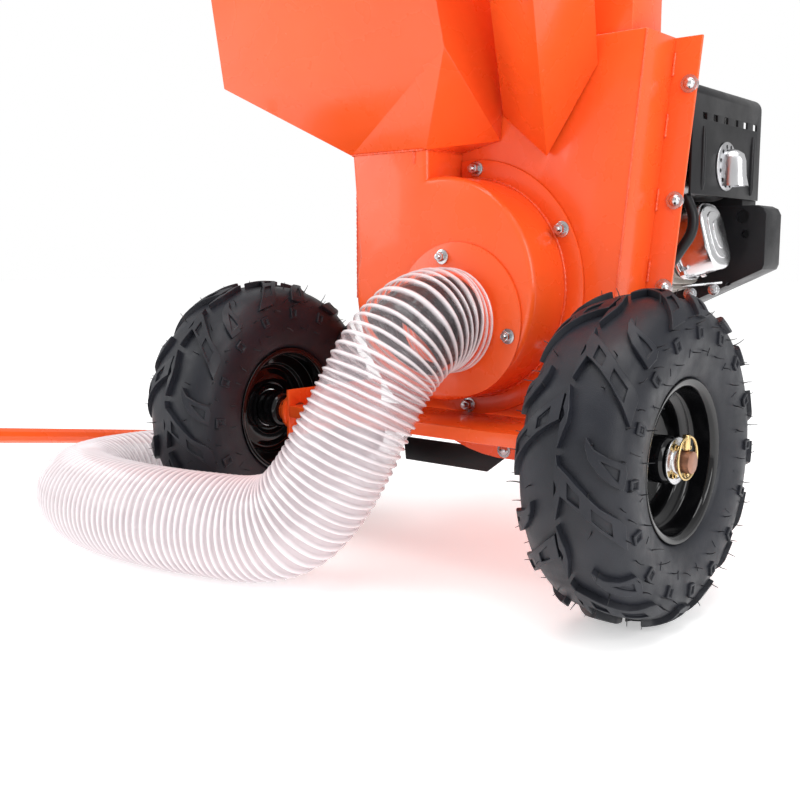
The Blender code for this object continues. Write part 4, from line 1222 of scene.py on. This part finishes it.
# the shroud's plate has a slanted foot, a bridge up to the guard and three blind holes
def sideShroud():
    near, far, left = 0.3485, 0.3995, 0.0860
    outline = [(left, 0.4270), (0.2440, 0.4270), (0.2515, 0.4235), (0.2555, 0.4160), (0.2555, 0.3540), (0.2530, 0.3480)]
    outline += [(0.1600, 0.3045), (0.1520, 0.3010), (left, 0.2740)]
    piece = extrudedPlate(outline, near, far)
    bridge = block((left, near + 0.006 + axleY, 0.4240), (0.2222, far - 0.001 + axleY, 0.4392), 0)
    cutAway(piece, bridge, "UNION")
    addBevel(piece, 0.0035, 3, 35)
    for x, z, radius in ((0.2300, 0.3915, 0.0052), (0.2255, 0.4135, 0.0085), (0.2105, 0.3285, 0.0030)):
        cutAway(piece, rod((x, near - 0.01 + axleY, z), (x, near + 0.006 + axleY, z), radius, sides=32))
    hand(piece, "sideShroud", "chassis", mouldedBlack, ["side_shroud"], 30)
    rib = [(0.1100, 0.3350, 0.4150), (0.1500, 0.3330, 0.4080), (0.1750, 0.3330, 0.3880), (0.1820, 0.3340, 0.3500)]
    run = [(x, y + axleY, z) for x, y, z in rib]
    hand(bar(smoothRun(run, 8), 0.0065, 6), "shroudRib", "chassis", mouldedBlack, (), 60)


sideShroud()

bentTube = [
    (0.170, 0.215, 0.4325), (0.181, 0.212, 0.410), (0.1805, 0.210, 0.390), (0.170, 0.205, 0.370), (0.158, 0.200, 0.350),
]
pipe = bar(smoothRun([(x + 0.046, y - 0.012 + axleY, z) for x, y, z in bentTube], 8), 0.0062, 8)
hand(pipe, "heatPipe", "chassis", satinBlack, (), 60)

# linkage and bracket bolts below the cylinder
linkageBolts = ((0.182, 0.300, 0.3180, 0.0095), (0.205, 0.318, 0.3230, 0.0085), (0.150, 0.285, 0.3120, 0.0100))
for i, (x, y, z, size) in enumerate(linkageBolts):
    hexNut((x, y + axleY, z), (0.35, -1, 0.05), size, 0.0060, 0.0040, f"linkageBolt{i + 1}", size * 0.85)
rodRun = [(0.100, 0.270, 0.330), (0.140, 0.284, 0.3245), (0.180, 0.290, 0.3280), (0.212, 0.325, 0.3320)]
rodRun = [(x, y + axleY, z) for x, y, z in rodRun]
hand(bar(smoothRun(rodRun, 6), 0.0016, 4), "governorRod", "chassis", zincPlate, (), 60)
print("exhaust side of the engine made")

# muffler: a pressed can with a rolled seam
can = block((0.1005, 0.2055 + axleY, 0.4320), (0.2145, 0.3445 + axleY, 0.5395), 0.018, 5)
seamRing = coverBlock(roundOutline(0.0702, 0.0545, 6, 56), 0.1560, 0.1590, 0.0008, (0.275 + axleY, 0.4858))
hand(joinPieces([can, seamRing]), "mufflerCan", "chassis", bareSteel, ["muffler"], 35)

# fan housing with its ring of vents and pull-start cage
fan = {"y": 0.4003, "radius": 0.125, "depth": 0.060}
profile = [
    (0.0, 0.0600), (0.0480, 0.0600), (0.0560, 0.0585), (0.0640, 0.0540), (0.0760, 0.0520), (0.0800, 0.0545), (0.0860, 0.0520),
    (0.1080, 0.0435), (0.1210, 0.0340), (0.1250, 0.0230), (0.1250, 0.0), (0.0, 0.0),
]
axisStart = (0, fan["y"] + axleY, rotorZ)
shell = spun(eased(profile, 0.0018, 2), axisStart, (0, fan["y"] + axleY + 1, rotorZ), 96)
for i in range(24):
    angle = math.tau * i / 24
    if math.sin(angle) > 0.80:
        continue
    slotTurn = Matrix.Translation((0, fan["y"] + axleY + 0.055, rotorZ)) @ Matrix.Rotation(-angle, 4, "Y")
    slot = block((0.088, -0.018, -0.0042), (0.108, 0.03, 0.0042), 0)
    slot.data.transform(slotTurn)
    cutAway(shell, slot)
for i in range(10):
    angle = math.tau * i / 10
    slot = block((0.024, -0.004, -0.0030), (0.044, 0.03, 0.0030), 0)
    slot.data.transform(Matrix.Translation((0, fan["y"] + axleY + 0.060, rotorZ)) @ Matrix.Rotation(-angle, 4, "Y"))
    cutAway(shell, slot)
hand(shell, "fanHousing", "chassis", mouldedBlack, ["fan_housing"], 30)
for i in range(6):
    angle = math.tau * (i + 0.5) / 6
    place = (0.114 * math.cos(angle), fan["y"] + axleY + 0.0395, rotorZ + 0.114 * math.sin(angle))
    hexNut(place, (0, 1, 0), 0.0080, 0.0038, 0, f"fanBolt{i + 1}", 0.0062)

# tank: blow-moulded, with its seam, and a ribbed cap
low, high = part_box("fuel_tank")
tankBody = block(low, high, 0.024, 6)
middle = (low + high) / 2
outline = roundOutline((high.x - low.x) / 2 + 0.0028, (high.y - low.y) / 2 + 0.0028, 9, 72)
lip = extrudedPlate(outline, -0.0022, 0.0022)
flat = Matrix.Rotation(math.radians(90), 4, "X")
lip.data.transform(Matrix.Translation(middle) @ flat @ Matrix.Translation((0, -axleY, 0)))
neck = rod((-0.02, 0.290 + axleY, high.z - 0.003), (-0.02, 0.290 + axleY, high.z + 0.0002), 0.034, sides=48)
hand(joinPieces([tankBody, lip, neck]), "fuelTank", "chassis", mouldedBlack, ["fuel_tank"], 35)
capLow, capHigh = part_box("fuel_cap")
capMiddle = (capLow + capHigh) / 2
profile = [(0.0, 0.0178), (0.0200, 0.0178), (0.0215, 0.0160), (0.0245, 0.0160), (0.0262, 0.0140), (0.0268, 0.0), (0.0, 0.0)]
base = (capMiddle.x, capMiddle.y, capLow.z)
capPieces = [spun(eased(profile, 0.0009, 2), base, (base[0], base[1], base[2] + 1), 64)]
for i in range(24):
    angle = math.tau * i / 24
    spot = Vector((base[0] + 0.0266 * math.cos(angle), base[1] + 0.0266 * math.sin(angle), base[2]))
    capPieces.append(rod(spot + Vector((0, 0, 0.0008)), spot + Vector((0, 0, 0.0130)), 0.0013, 0.0009, 8))
hand(joinPieces(capPieces), "fuelCap", bodyOf["fuel_cap"], mouldedBlack, ["fuel_cap"], 35)

# air cleaner with a ribbed lid and a knob
low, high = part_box("air_cleaner")
lidPieces = [block(low, high, 0.020, 6)]
for i in range(5):
    y = low.y + 0.030 + 0.020 * i
    lidPieces.append(block((low.x - 0.0014, y - 0.003, low.z + 0.022), (low.x + 0.004, y + 0.003, high.z - 0.022), 0.0012))
knobX, knobY = (low.x + high.x) / 2, (low.y + high.y) / 2
knob = eased([(0.0, 0.012), (0.011, 0.012), (0.013, 0.0), (0.0, 0.0)], 0.0015, 2)
lidPieces.append(spun(knob, (knobX, knobY, high.z - 0.001), (knobX, knobY, high.z + 1), 48))
hand(joinPieces(lidPieces), "airCleaner", "chassis", mouldedBlack, ["air_cleaner"], 35)
print("engine covers made")

# crankcase bolts
for i, (x, z) in enumerate(((-0.070, 0.215), (0.070, 0.215), (-0.070, 0.400), (0.070, 0.400))):
    hexNut((x, 0.1724 + axleY, z), (0, -1, 0), 0.0100, 0.0055, 0, f"crankcaseBolt{i + 1}", 0.0082)

# set screws on the axle tubes' collar flanges
for sign, side in ((-1, "left"), (1, "right")):
    low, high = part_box(f"axle_spacer_{side}")
    x = low.x if sign > 0 else high.x
    for k in range(3):
        angle = math.radians(30 + 120 * k)
        place = (x + sign * 0.0052, axleY + 0.0198 * math.cos(angle), axleZ + 0.0198 * math.sin(angle))
        hexNut(place, (sign, 0, 0), 0.0064, 0.0032, 0, f"{side}CollarBolt{k + 1}", None)
